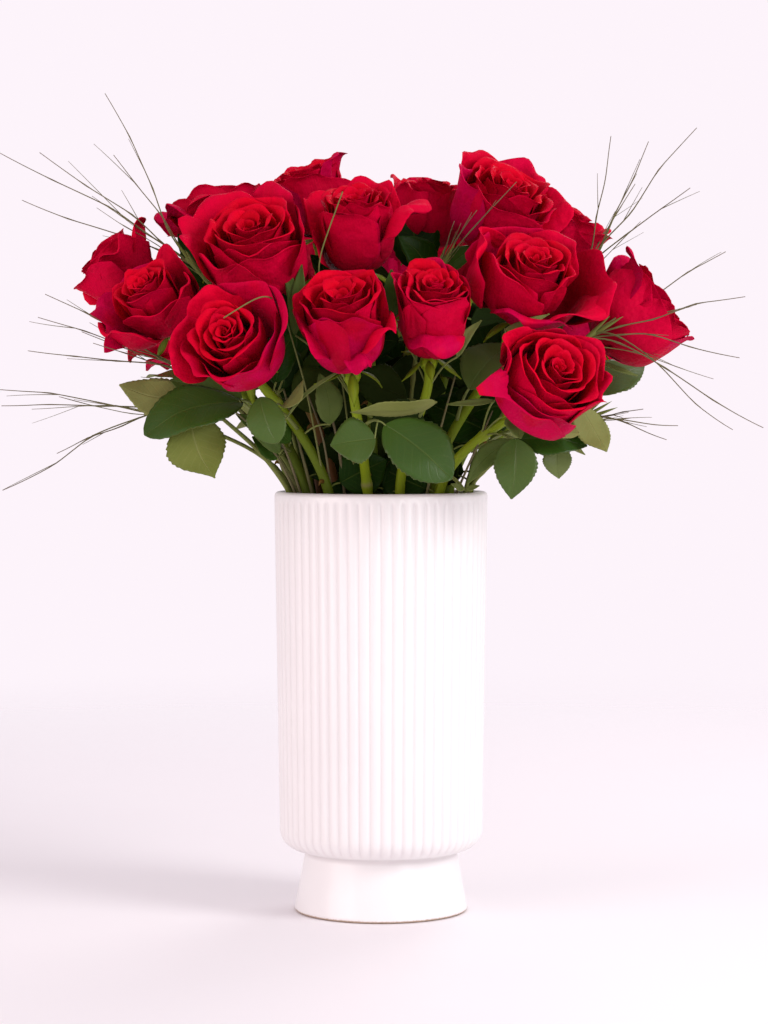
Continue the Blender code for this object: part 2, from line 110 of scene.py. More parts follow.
class Finish:
    """A material in the making, around one Principled shader whose fixed values are set as it is made."""

    def __init__(self, name, **fixed):
        self.material = bpy.data.materials.new(name)
        self.material.use_nodes = True
        self.nodes = self.material.node_tree.nodes
        self.links = self.material.node_tree.links
        self.shader = self.nodes["Principled BSDF"]
        for key, value in fixed.items():
            self.shader.inputs[key.replace("_", " ")].default_value = value

    def add(self, kind, settings, *inputs, output=0, **named):
        """One node of any kind: its settings first, then what goes into its sockets, in order or by name."""
        node = self.nodes.new(kind)
        for key, value in settings.items():
            setattr(node, key, value)
        for key, value in [*enumerate(inputs), *named.items()]:
            self.put(node.inputs[key], value)
        return Link(self, node.outputs[output])

    def put(self, socket, value):
        if isinstance(value, Link):
            self.links.new(value.socket, socket)
        elif value is not None:
            if socket.type == "RGBA" and len(value) == 3:
                value = (*value, 1)
            socket.default_value = value

    def mark(self, name):
        """A value that the mesh carries."""
        return self.add("ShaderNodeAttribute", dict(attribute_name=name), output="Fac")

    def place(self, stretch=(1, 1, 1)):
        """Where a point is, in metres in the object's own frame, times stretch."""
        here = self.add("ShaderNodeTexCoord", {}, output="Object")
        return self.add("ShaderNodeVectorMath", dict(operation="MULTIPLY"), here, stretch)

    def noise(self, where, scale, detail):
        return self.add("ShaderNodeTexNoise", {}, Vector=where, Scale=scale, Detail=detail)

    def mix(self, factor, first, second):
        """From the first colour at factor 0 to the second at 1."""
        numbers_and_vectors = [None] * 5
        colour_result = 2
        return self.add("ShaderNodeMix", dict(data_type="RGBA"), factor, *numbers_and_vectors, first, second,
                        output=colour_result)

    def wear(self, **driven):
        """Feeds what varies over the surface into the shader."""
        for key, value in driven.items():
            self.put(self.shader.inputs[key.replace("_", " ")], value)
        return self.material

    def bump(self, height, distance, strength=1.0):
        return self.add("ShaderNodeBump", {}, Strength=strength, Distance=distance, Height=height)


def smooth(value, start=0.0, end=1.0):
    """0 below start, 1 above end, with a smooth rise between."""
    share = np.clip((np.asarray(value, float) - start) / (end - start), 0, 1)
    return share * share * (3 - 2 * share)


def hump(value, middle, width):
    """A smooth bump, 1 high at middle."""
    return np.exp(-(((value - middle) / width) ** 2))


def unit(vector):
    return vector / np.linalg.norm(vector)


def metres(millimetres):
    return np.array(millimetres) / 1000


def normals(grid):
    """The way that a grid of points faces at each one."""
    normal = np.cross(np.gradient(grid, axis=0), np.gradient(grid, axis=1))
    return normal / (np.linalg.norm(normal, axis=2)[..., None] + 1e-12)


def ring_faces(rings, sides):
    """Faces between rings of points that follow one another."""
    a = np.arange((rings - 1) * sides)
    b = np.where(a % sides == sides - 1, a + 1 - sides, a + 1)
    return np.stack([a, b, b + sides, a + sides], axis=1)


def sheet_faces(rows, columns, order=(0, 1, 2, 3)):
    """Faces of a closed sheet between two grids of points, the second after the first. order is the order of
    each face's corners."""
    n = rows * columns
    grid = np.arange(n).reshape(rows, columns)
    quads = np.stack([grid[:-1, :-1], grid[1:, :-1], grid[1:, 1:], grid[:-1, 1:]], axis=2)
    quads = quads.reshape(-1, 4)[:, order]
    edge = np.concatenate([grid[0, :-1], grid[:-1, -1], grid[-1, :0:-1], grid[:0:-1, 0]])
    onward = np.roll(edge, -1)
    rim = np.stack([edge, onward, onward + n, edge + n], axis=1)[:, order]
    return np.concatenate([quads, (quads + n)[:, ::-1], rim])


def piece(name, points, faces, material, node, marks):
    """A smooth mesh object on the root body, with the values that it carries, in place of any CAD node."""
    mesh = bpy.data.meshes.new(name)
    sides = [len(face) for face in faces]
    corners = np.fromiter((corner for face in faces for corner in face), np.int32)
    mesh.vertices.add(len(points))
    mesh.vertices.foreach_set("co", np.ascontiguousarray(points, dtype=np.float32).ravel())
    mesh.loops.add(len(corners))
    mesh.loops.foreach_set("vertex_index", corners)
    mesh.polygons.add(len(sides))
    mesh.polygons.foreach_set("loop_start", np.cumsum([0, *sides[:-1]]).astype(np.int32))
    mesh.update(calc_edges=True)
    mesh.validate()
    for key, values in marks.items():
        mark = mesh.attributes.new(key, "FLOAT", "POINT")
        mark.data.foreach_set("value", np.asarray(values, np.float32).ravel())
    mesh.shade_smooth()
    made = bpy.data.objects.new(name, mesh)
    bpy.context.scene.collection.objects.link(made)
    mesh.materials.append(material)
    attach(made, "root")
    if node:
        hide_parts(node)


def arc(centre_r, centre_z, radius, start, end, count):
    """Points of an outline on a part of a circle, between two angles in degrees."""
    angles = np.radians(np.linspace(start, end, count))
    return [(centre_r + radius * math.cos(a), centre_z + radius * math.sin(a)) for a in angles]


def glaze():
    """White satin glaze, painted shade in the reed grooves and at the foot's ledge, bare clay on the foot's
    edge.
    """
    white = Finish("satin glaze", Specular_IOR_Level=0.45, Coat_Weight=0.25, Coat_Roughness=0.12)
    here = white.place()
    height = white.add("ShaderNodeSeparateXYZ", {}, here, output="Z")
    cloud = white.noise(here, scale=18, detail=3)
    grain = white.noise(here, scale=900, detail=2)
    groove = white.mark("groove")
    tone = white.mix(cloud, (0.86, 0.835, 0.83), (0.80, 0.775, 0.775))
    # Painted shade: the reed grooves are painted a darker, warmer grey.
    tone = white.mix((groove * 0.35).held(), tone, (0.70, 0.64, 0.65))
    # Painted shadow: a darker band along the ledge where the body sits on the foot.
    ledge = (height - FOOT_HEIGHT) / 0.003
    tone = white.mix(0.45 * (1 - abs(ledge).step(0.2, 1.0)), tone, (0.62, 0.57, 0.57))
    bare = 1 - (height + (grain - 0.5) * 0.0012).step(0.0006, 0.0017)
    tone = white.mix(bare, tone, (0.42, 0.30, 0.22))
    return white.wear(
        Base_Color=tone,
        Roughness=0.30 + cloud * 0.12 + bare * 0.45,
        Normal=white.bump(cloud + grain * 0.04, 0.0012, 0.5),
    )


def vase():
    """The vase's outline, from its floor over the rim to its underside, turned, with the reeds cut in."""
    lip = WALL / 2
    bottom_inner = BODY_FOOT_RADIUS - WALL
    neck_inner = NECK_RADIUS - WALL
    shoulder_top = FOOT_HEIGHT + LEDGE + SHOULDER_RADIUS
    inner_wall = VASE_HEIGHT - lip - shoulder_top
    inside = [(NEAR_AXIS, FLOOR), (neck_inner - 0.02, FLOOR), (neck_inner - 0.004, FLOOR)]
    inside += arc(neck_inner - 0.004, FLOOR + 0.004, 0.004, -60, 0, 4)
    inside += [(neck_inner, FOOT_HEIGHT + 0.005)]
    inside += arc(bottom_inner - 0.007, shoulder_top + 0.001, 0.007, -60, 0, 5)
    inside += [(bottom_inner + TAPER * t, shoulder_top + inner_wall * t) for t in (0.3, 0.6, 0.9)]
    rim = arc(VASE_RADIUS - lip, VASE_HEIGHT - lip, lip, 180, 0, 11)
    top = VASE_HEIGHT - lip - 0.002
    reeded = [(VASE_RADIUS + (BODY_FOOT_RADIUS - VASE_RADIUS) * t, top + (shoulder_top - top) * t)
              for t in (*np.linspace(0, 0.05, 10), *np.linspace(0.1, 1, 7))]
    shoulder = arc(BODY_FOOT_RADIUS - SHOULDER_RADIUS, shoulder_top, SHOULDER_RADIUS, -4, -84, 13)
    foot = [
        (NECK_RADIUS + 0.0012, FOOT_HEIGHT + 0.0012),
        (NECK_RADIUS + 0.0002, FOOT_HEIGHT + 0.0004),
        (NECK_RADIUS, FOOT_HEIGHT - 0.0008),
        (NECK_RADIUS + 0.0004, FOOT_HEIGHT - 0.003),
        *[(NECK_RADIUS + (FOOT_RADIUS - NECK_RADIUS) * t, (FOOT_HEIGHT - 0.001) * (1 - t) + 0.0012 * t)
          for t in (0.15, 0.3, 0.5, 0.7, 0.85, 0.95, 1.0)],
        (FOOT_RADIUS - 0.0003, 0.0004),
        (FOOT_RADIUS - 0.0010, 0),
        (FOOT_RADIUS - 0.004, 0),
        (NEAR_AXIS, 0),
    ]
    outline = np.array(inside + rim + reeded + shoulder + foot)
    first_reeded = len(inside) + len(rim)
    after_reeded = first_reeded + len(reeded) + len(shoulder)
    around = RIBS * POINTS_PER_RIB
    angle = np.arange(around) * 2 * math.pi / around
    across = np.abs(np.arange(around) % POINTS_PER_RIB - POINTS_PER_RIB / 2) / (POINTS_PER_RIB / 2)
    r = np.repeat(outline[:, :1], around, axis=1)
    z = np.repeat(outline[:, 1:], around, axis=1)
    below = smooth(VASE_HEIGHT - PLAIN_LIP - z - 0.0016 * (1 - across) ** 2, 0, 0.0024)
    above = smooth(z, FOOT_HEIGHT + LEDGE, FOOT_HEIGHT + 0.006)
    ring = np.arange(len(outline))[:, None]
    groove = across**2.4 * below * above * ((ring >= first_reeded) & (ring < after_reeded))
    r = r - RIB_DEPTH * groove
    points = np.stack([r * np.cos(angle), r * np.sin(angle), z], axis=2).reshape(-1, 3)
    faces = ring_faces(len(outline), around)[:, BACKWARDS]
    caps = [np.arange(around), ((len(outline) - 1) * around + np.arange(around))[::-1]]
    piece("vase_body", points, [*faces, *caps], glaze(), "vase", dict(groove=groove))


vase()

# The rose stems --------------------------------------------
# Cut stems, stripped of their lower leaves, green with some red-brown bark, with a scarred joint
# every few centimetres and a few thorns. Each ends in a hip that carries the head and five sepals.

rng = np.random.default_rng(11)


def frame_along(way, up):
    """Axes as rows: across, up, along, with along lying on way and up as near up as it can be."""
    z = unit(way)
    x = unit(np.cross(up, z))
    return np.array((x, np.cross(z, x), z))


def node_points(name):
    """The corners of a CAD solid's mesh."""
    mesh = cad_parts[name].data
    found = np.zeros(len(mesh.vertices) * 3, np.float32)
    mesh.vertices.foreach_get("co", found)
    return found.reshape(-1, 3).astype(float)


def middle_line(name, low_z, high_z, count):
    """The line through the middle of an upright CAD solid, from where level cuts meet its edges."""
    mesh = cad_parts[name].data
    spots = node_points(name)
    pairs = np.zeros(len(mesh.edges) * 2, np.int32)
    mesh.edges.foreach_get("vertices", pairs)
    a, b = spots[pairs.reshape(-1, 2)].transpose(1, 0, 2)
    line = []
    for height in np.linspace(low_z, high_z, count):
        cut = (a[:, 2] - height) * (b[:, 2] - height) < 0
        share = ((height - a[cut, 2]) / (b[cut, 2] - a[cut, 2]))[:, None]
        ring = a[cut] + (b[cut] - a[cut]) * share
        if len(line) > 1:
            expected = 2 * line[-1] - line[-2]
            ring = ring[np.linalg.norm(ring - expected, axis=1) < 0.0075]
        if len(ring) < 4:
            break
        line.append((ring.min(0) + ring.max(0)) / 2)
    return np.array(line)


def along_line(line, step):
    """The same line, with an even step between its points, and its length at each one."""
    reach = np.concatenate([[0], np.cumsum(np.linalg.norm(np.diff(line, axis=0), axis=1))])
    marks = np.linspace(0, reach[-1], max(3, int(round(reach[-1] / step)) + 1))
    return np.stack([np.interp(marks, reach, line[:, k]) for k in range(3)], axis=1), marks


def softened(line, times):
    """The same line with its corners rounded off."""
    for _ in range(times):
        inner = 0.5 * line[1:-1] + 0.25 * (line[:-2] + line[2:])
        line = np.concatenate([line[:1], inner, line[-1:]])
    return line


def tube(line, radii, sides):
    """Points and faces of a closed tube along a line, and each point's place along it from 0 to 1."""
    way = np.gradient(line, axis=0)
    way /= np.linalg.norm(way, axis=1)[:, None] + 1e-12
    across = np.cross(way[0], (0.3, 1, 0.2))
    turn = np.arange(sides)[:, None] * 2 * math.pi / sides
    rings = []
    for spot, ahead, radius in zip(line, way, radii):
        across = unit(across - ahead * (across @ ahead))
        rings.append(spot + radius * (np.cos(turn) * across + np.sin(turn) * np.cross(ahead, across)))
    count = len(line)
    points = np.concatenate([*rings, line[:1], line[-1:]])
    start, end = count * sides, count * sides + 1
    faces = ring_faces(count, sides).tolist()
    for j in range(sides):
        k = (j + 1) % sides
        faces += [(k, j, start), ((count - 1) * sides + j, (count - 1) * sides + k, end)]
    share = np.concatenate([np.repeat(np.linspace(0, 1, count), sides), [0, 1]])
    return points, faces, share


class Parts:
    """Shapes gathered into one mesh, with the values that its points carry."""

    def __init__(self, *marks):
        self.points, self.faces, self.count = [], [], 0
        self.marks = {name: [] for name in marks}

    def take(self, points, faces, **marks):
        self.points.append(points)
        self.faces += [[corner + self.count for corner in face] for face in faces]
        self.count += len(points)
        for name, store in self.marks.items():
            store.append(np.broadcast_to(np.asarray(marks.get(name, 0.0), float), (len(points),)))

    def piece(self, name, material, node, slot):
        marks = {key: np.concatenate(values) for key, values in self.marks.items()}
        piece(name, np.concatenate(self.points), self.faces, material, node, marks)


def bark():
    """Yellow-green skin, streaked along, painted darker as shade deep in the bunch, with red-brown patches
    and pale scars.
    """
    green = Finish("rose stem", Specular_IOR_Level=0.12)
    along = green.mark("along")
    red = green.mark("red")
    scar = green.mark("scar")
    streak = green.noise(green.place((1, 1, 0.12)), scale=500, detail=3)
    patch = green.noise(green.place(), scale=28, detail=3)
    tone = green.mix(patch, (0.13, 0.19, 0.006), (0.28, 0.34, 0.012))
    # Painted shade: stems that lie deep in the bunch are painted darker.
    tone = green.mix(green.mark("deep"), tone, (0.040, 0.060, 0.004))
    tone = green.mix(streak * 0.35, tone, (0.07, 0.13, 0.008))
    blush = (red + (patch - 0.5) * 0.9).step(0.45, 0.75)
    tone = green.mix(blush * 0.85, tone, (0.11, 0.030, 0.012))
    tone = green.mix(scar, tone, (0.23, 0.19, 0.09))
    tone = green.mix(0.5 * along.step(0.7, 0.95), tone, (0.24, 0.33, 0.012))
    return green.wear(
        Base_Color=tone, Roughness=0.38 + streak * 0.2, Normal=green.bump(streak * 0.4 + patch, 0.0006, 0.5)
    )


def sepal(base, axis, turn, length, width, lift, curl):
    """A long thin sepal that springs from under the head: a closed blade, pointed, curling back."""
    across, up, _ = frame_along(axis, (0.1, 0.9, 0.2))
    outward = math.cos(turn) * across + math.sin(turn) * up
    side = np.cross(axis, outward)
    rows = 9
    t = np.linspace(0, 1, rows)
    pitch = lift - curl * t**1.3
    path = np.cumsum(np.stack([np.cos(pitch), np.sin(pitch)], 1) * length / (rows - 1), axis=0)
    path -= path[0]
    half = width / 2 * np.abs(np.sin(math.pi * (0.16 + 0.84 * (1 - t)))) ** 0.7 * (1 - t**3)
    half = np.maximum(half, 0.0003)
    centre = base + 0.0042 * outward + path[:, :1] * outward + path[:, 1:] * axis
    points = []
    for k in range(rows):
        normal = -math.sin(pitch[k]) * outward + math.cos(pitch[k]) * axis
        keel = 0.25 * half[k]
        points += [
            centre[k] - side * half[k],
            centre[k] - normal * (keel + 0.0004),
            centre[k] + side * half[k],
            centre[k] + normal * 0.0004 - normal * keel * 0.5,
        ]
    tip = 4 * (rows - 1)
    return np.array(points), [*ring_faces(rows, 4).tolist(), (3, 2, 1, 0), (tip, tip + 1, tip + 2, tip + 3)]


def find_seat(head):
    """Where a head sits on its stem and the way it faces."""
    of_head, of_stem = node_points(head), node_points(head.replace("head", "stem"))
    gaps = np.linalg.norm(of_head[:, None] - of_stem[None], axis=2)
    base = of_head[gaps.min(1).argmin()]
    near = of_stem[np.linalg.norm(of_stem - base, axis=1) < 0.008]
    return base, unit(unit(base - near.mean(0)) + unit(of_head.mean(0) - base))


HEADS = sorted(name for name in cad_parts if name.endswith("_head"))
seats = {head: find_seat(head) for head in HEADS}

# By the number of the rose: how red-brown its stem is, and how much shade is painted on it where it lies in
# the shade of the bunch, where that isn't as for the rest.
REDDISH = {4: 0.9, 5: 0.7, 9: 0.0, 10: 0.0, 13: 0.5, 14: 0.0, 17: 0.8}
PAINTED_STEM_SHADE = {9: 0.0, 10: 0.0, 13: 0.4, 14: 0.1}
STEM_SIDES = 12
STEM_RADIUS = 0.0034
STEM_TAPER = 0.0007
HIP_LENGTH = 0.012
SEPALS = 5

stem_bark = bark()
for number, head in enumerate(HEADS, 1):
    base, axis = seats[head]
    stem = head.replace("head", "stem")
    bottom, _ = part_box(stem)
    hip_start = base - axis * HIP_LENGTH
    rough_line = middle_line(stem, bottom.z + 0.003, hip_start[2] - 0.006, 40)
    start = rough_line[0] + (rough_line[0] - rough_line[1]) * 0.2
    start[2] = bottom.z + 0.0004
    line = np.concatenate([[start], rough_line, [hip_start], [base - axis * 0.0004]])
    line, marks = along_line(softened(along_line(line, 0.004)[0], 6), 0.0022)
    length = marks[-1]
    radii = STEM_RADIUS - STEM_TAPER * (marks / length) ** 2
    scars = np.zeros(len(marks))
    joints = np.arange(rng.uniform(0.02, 0.06), length - 0.04, rng.uniform(0.055, 0.075))
    joints = joints + rng.uniform(-0.008, 0.008, len(joints))
    for joint in joints:
        radii += 0.0007 * hump(marks, joint, 0.0026)
        scars = np.maximum(scars, hump(marks - joint, 0.001, 0.0011) * rng.uniform(0.3, 0.9))
    from_top = length - marks
    radii += 0.0029 * hump(from_top, 0.0042, 0.0042) - 0.0012 * hump(from_top, 0, 0.0016)
    parts = Parts("along", "red", "scar", "deep")
    points, faces, share = tube(line, radii, STEM_SIDES)
    red = REDDISH.get(number, rng.uniform(0.0, 0.42))
    scars = np.concatenate([np.repeat(scars, STEM_SIDES), [0, 0]])
    parts.take(points, faces, along=share, red=red, scar=scars, deep=PAINTED_STEM_SHADE.get(number, 0.75))
    for joint in joints:
        for _ in range(rng.integers(1, 3)):
            place = joint + rng.uniform(-0.02, 0.02)
            k = int(np.clip(np.searchsorted(marks, place), 2, len(marks) - 3))
            ahead = unit(line[k + 1] - line[k - 1])
            out = unit(np.cross(ahead, rng.normal(size=3)))
            root = line[k] + out * (radii[k] - 0.0006)
            thorn = np.array([root, root + out * 0.0022, root + out * 0.0042 - ahead * 0.0016])
            if line[k, 2] > VASE_HEIGHT - 0.03:
                points, faces, _ = tube(thorn, (0.0019, 0.0008, 0.0001), 8)
                parts.take(points, faces, along=0.5, red=0.95)
    for k in range(SEPALS):
        turn = 2 * math.pi * k / SEPALS + rng.uniform(-0.25, 0.25)
        long, wide = rng.uniform(0.014, 0.023), rng.uniform(0.005, 0.0075)
        lift, curl = rng.uniform(-0.7, 0.35), rng.uniform(-0.3, 1.3)
        points, faces = sepal(base - axis * 0.0016, axis, turn, long, wide, lift, curl)
        # The sepals get some painted shade as well.
        parts.take(points, faces, along=0.75, red=0.1, deep=0.35)
    parts.piece(stem.replace("rose", "cut_rose"), stem_bark, stem, "stems")

# The leaves ------------------------------------------------
# Rose leaves: a thin stalk with toothed oval leaflets, glossy dark green above with a pale midrib
# and faint side veins, matt olive below. Young ones near the heads are smaller and lighter.

# For each CAD leaf: the rose that bears it, the end of its stalk, the way its upper side faces, and its
# leaflets. Of each leaflet: how far along the stalk it springs, where its blade starts, if not right there,
# its tip and its width, how much it turns about its length, in degrees, and its tone, from dark at 0 to pale
# at 1, where tones under about 0.12 are painted towards black as shade. Some end with how sharp the tip is,
# from 0.6, round, to 1.2, and how much the blade arches. Places and widths are in mm.
LEAVES = {
    "leaf_01": (2, (-84, -61, 311), (-0.2, -0.75, 0.65), [
        (1, (-81, -62, 310), (-137, -86, 294), 33, 0, 0.15, 0.62),
        (0.8, (-111, -75, 301), (-96, -91, 265), 33, 170, 0.20, 1.2),
        (0.9, (-110, -57, 312), (-154, -61, 319), 24, 165, 1.0),
        (0.9, (-82, -57, 312), (-124, -56, 325), 26, 0, 0.3)]),
    "leaf_02": (3, (-70, -82, 309), (-0.1, -0.80, 0.60), [
        (1, (-70, -85, 313), (-60, -95, 287), 20, 0, 0.30, 0.60),
        (0.7, (-57, -86, 307), (-44, -86, 322), 13, 150, 0.8)]),
    "leaf_03": (9, (-1, -86, 299), (0.0, -0.90, 0.45), [
        (1, (2, -87, 297), (41, -99, 267), 33, 0, 0.13, 0.70),
        (0.9, (-3, -89, 289), (-29, -93, 286), 27, 0, 0.24)]),
    "leaf_04": (10, (32, -86, 310), (0.0, 0.45, 0.90), [(1, None, (-18, -90, 307), 19, 0, 0.6, 1.1, -0.09)]),
    "leaf_05": (13, (52, -50, 318), (-0.1, -0.75, 0.65), [(1, None, (75, -46, 346), 30, 0, 0.5)]),
    "leaf_06": (14, (112, -56, 300), (0.0, -0.80, 0.60), [
        (1, (117, -60, 308), (131, -72, 280), 21, 165, 0.8),
        (0.6, (80, -62, 288), (121, -66, 286), 24, 0, 0.08),
        (0.2, (79, -70, 289), (76, -78, 254), 24, 0, 0.3),
        (0.6, (104, -58, 285), (105, -58, 265), 16, 0, 0.9),
        (0.8, (116, -76, 292), (93, -78, 297), 8, 170, 1.0)]),
    "leaf_07": (15, (128, 16, 316), (0.3, -0.50, 0.80), [
        (1, None, (164, 34, 336), 26, 0, 0.4),
        (0.6, None, (130, 50, 312), 22, 0, 0.3),
        (0.5, None, (104, 34, 296), 22, 0, 0.2)]),
    "leaf_08": (1, (-116, 18, 322), (-0.4, 0.10, 0.90), [
        (1, None, (-146, 34, 328), 24, 0, 0.4),
        (0.6, None, (-112, 50, 308), 22, 0, 0.3),
        (0.6, None, (-130, 2, 304), 20, 0, 0.3)]),
    "leaf_09": (17, (-64, 84, 312), (-0.2, 0.40, 0.90), [
        (1, None, (-86, 124, 300), 28, 0, 0.3),
        (0.6, None, (-36, 102, 300), 24, 0, 0.3),
        (0.6, None, (-94, 84, 296), 24, 0, 0.4)]),
    "leaf_10": (18, (8, 90, 304), (0.0, 0.40, 0.90), [
        (1, None, (14, 136, 290), 28, 0, 0.3),
        (0.6, None, (42, 104, 290), 24, 0, 0.2),
        (0.6, None, (-22, 114, 282), 24, 0, 0.3)]),
    "leaf_11": (20, (104, 78, 300), (0.3, 0.30, 0.90), [
        (1, None, (140, 104, 284), 28, 0, 0.3),
        (0.6, None, (84, 110, 284), 24, 0, 0.3),
        (0.6, None, (130, 64, 280), 24, 0, 0.3)]),
}
SIDE_VEINS = 8.5
VEIN_SLANT = 2.2
LEAF_THICKNESS = 0.00035


def foliage(name, shine):
    """Leaf green, olive beneath, with a pale midrib and side veins, from painted near-black shade to pale by
    its tone.
    """
    leaf = Finish(name, Specular_IOR_Level=shine)
    along, across, tone = leaf.mark("along"), leaf.mark("across"), leaf.mark("tone")
    upper = leaf.mark("upper")
    side = abs(across)
    vein = (along * SIDE_VEINS - side * VEIN_SLANT) % 1.0 - 0.5
    vein = (1 - abs(vein).step(0.02, 0.12)) * (1 - side.step(0.6, 0.95)) * side.step(0.0, 0.2)
    rib = 1 - side.step(0.01, 0.05)
    here = leaf.place()
    cells = leaf.add("ShaderNodeTexVoronoi", {}, Vector=here, Scale=900.0)
    cloud = leaf.noise(here, scale=45, detail=3)
    top = leaf.mix(tone, (0.016, 0.062, 0.003), (0.16, 0.195, 0.060))
    # Painted shade: a tone under 0.12 turns the upper side nearly black, for leaves deep in the bunch.
    top = leaf.mix(1 - tone.step(0.0, 0.12), top, (0.008, 0.026, 0.002))
    top = leaf.mix(cloud.step(0.35, 0.75) * 0.35 * tone.step(0.05, 0.15), top, (0.04, 0.085, 0.006))
    top = leaf.mix(vein * 0.07 + rib * 0.25, top, (0.11, 0.15, 0.03))
    top = leaf.mix(side.step(0.93, 1.0) * 0.3, top, (0.08, 0.07, 0.02))
    under = leaf.mix(cloud, (0.085, 0.115, 0.012), (0.150, 0.175, 0.030))
    under = leaf.mix(tone * 0.5, under, (0.30, 0.30, 0.11))
    under = leaf.mix(vein * 0.12 + rib * 0.4, under, (0.25, 0.26, 0.09))
    # Painted shade: the same near black for the underside.
    under = leaf.mix(1 - tone.step(0.0, 0.12), under, (0.012, 0.024, 0.003))
    height = cells * 0.10 + cloud * 1.4 - vein * 0.1 - rib * 0.8
    return leaf.wear(
        Base_Color=leaf.mix(upper, under, top),
        Roughness=0.60 - upper * 0.31 + cloud * 0.08,
        Normal=leaf.bump(height, 0.0005, 0.6),
    )


def leaflet(parts, root, tip, up, width, turn, seed, tone, sharp=0.95, bend=None, teeth=13, columns=11):
    """Adds a toothed oval blade with a folded midrib, an arched length and a slightly wavy edge."""
    chance = np.random.default_rng(seed)
    across, lift, ahead = frame_along(tip - root, up)
    length = np.linalg.norm(tip - root)
    c, s = math.cos(turn), math.sin(turn)
    across, lift = c * across + s * lift, c * lift - s * across
    rows = 3 * teeth + 4
    t = np.linspace(0, 1, rows)[:, None]
    u = np.linspace(-1, 1, columns)[None, :]
    shape = (t / 0.41) ** 0.66 * ((1 - t) / 0.59) ** sharp
    tooth = (t * teeth) % 1.0
    notch = 1 - 0.075 * (1 - tooth) * smooth(t, 0.10, 0.25) * (np.abs(u) > 0.99)
    half = np.maximum(0.56 * width * shape * notch, 0.0004)
    sweep = 0.25 * width * np.abs(u) ** 1.5 * shape * (1 - t)
    side = half * u
    bend = chance.uniform(0.0, 0.08) if bend is None else bend
    fold = chance.uniform(0.08, 0.24)
    phase = 2 * math.pi * (1.4 * t + chance.uniform()) + 2.0 * np.sign(u)
    wave = 0.035 * width * np.sin(phase) * np.abs(u) ** 2 * shape
    arch = bend * length * np.sin(math.pi * t**0.9) * (1 - 0.5 * t)
    curl = -0.06 * length * smooth(t, 0.6, 1.0)
    quilt = np.abs(np.sin(math.pi * (SIDE_VEINS * t - VEIN_SLANT * np.abs(u)))) ** 0.6
    quilt = -0.00005 * quilt * (1 - u**2)
    rise = fold * np.abs(side) - 0.35 * fold * side**2 / (width / 2) + wave + arch + curl + quilt
    forward = length * t + sweep * 0.25
    swing = chance.uniform(-0.07, 0.07) * length * np.sin(math.pi * t)
    steps = np.broadcast_arrays(side + swing, rise, forward)
    top = root + sum(step[..., None] * way for step, way in zip(steps, (across, lift, ahead)))
    normal, faces = normals(top), sheet_faces(rows, columns)
    if normal.mean((0, 1)) @ lift < 0:
        normal, faces = -normal, faces[:, ::-1]
    under = top - LEAF_THICKNESS * normal
    points = np.concatenate([top.reshape(-1, 3), under.reshape(-1, 3)])
    along, across = (np.tile(mark.ravel(), 2) for mark in np.broadcast_arrays(t, u))
    upper = np.repeat([1.0, 0.0], rows * columns)
    parts.take(points, faces, along=along, across=across, upper=upper, tone=tone)


def bare_stalk(parts, start, end, thick, tone):
    """Adds a thin stalk that leaves start and bows up a little on its way to end."""
    t = np.linspace(0, 1, 7)[:, None]
    bow = np.array((0, 0, 0.10)) * np.linalg.norm(end - start) * np.sin(math.pi * t)
    points, faces, share = tube(start + (end - start) * t + bow, [thick] * len(t), 6)
    parts.take(points, faces, along=share, upper=0.5, tone=tone)


leaf_green = foliage("rose leaf", 0.22)
for number, (name, (rose, stalk_end, up, leaflets)) in enumerate(LEAVES.items()):
    end = metres(stalk_end)
    line = middle_line(f"rose_{rose:02d}_stem", end[2] - 0.03, end[2] + 0.01, 20)
    of_leaf = node_points(name)
    start = of_leaf[np.linalg.norm(of_leaf[:, None] - line[None], axis=2).min(1).argmin()]
    middle = (start + end) / 2 + np.array((0, 0, 0.12)) * np.linalg.norm(end - start)
    stalk = np.array([start, start * 0.4 + middle * 0.6, middle * 0.6 + end * 0.4, end])
    stalk = softened(along_line(stalk, 0.002)[0], 4)
    parts = Parts("along", "across", "upper", "tone")
    points, faces, share = tube(stalk, np.linspace(0.0012, 0.0007, len(stalk)), 8)
    parts.take(points, faces, along=share, upper=0.5, tone=0.55)
    for k, (share, root, tip, width, turn, *form) in enumerate(leaflets):
        joint = stalk[int(round(share * (len(stalk) - 1)))]
        tip = metres(tip)
        if root:
            root = metres(root)
            bare_stalk(parts, joint, root + (tip - root) * 0.02, 0.0005, 0.6)
        else:
            root = joint
        leaflet(parts, root, tip, up, width / 1000, math.radians(turn), 40 * number + k, *form)
    parts.piece(name.replace("leaf", "rose_leaf"), leaf_green, name, "leaves")
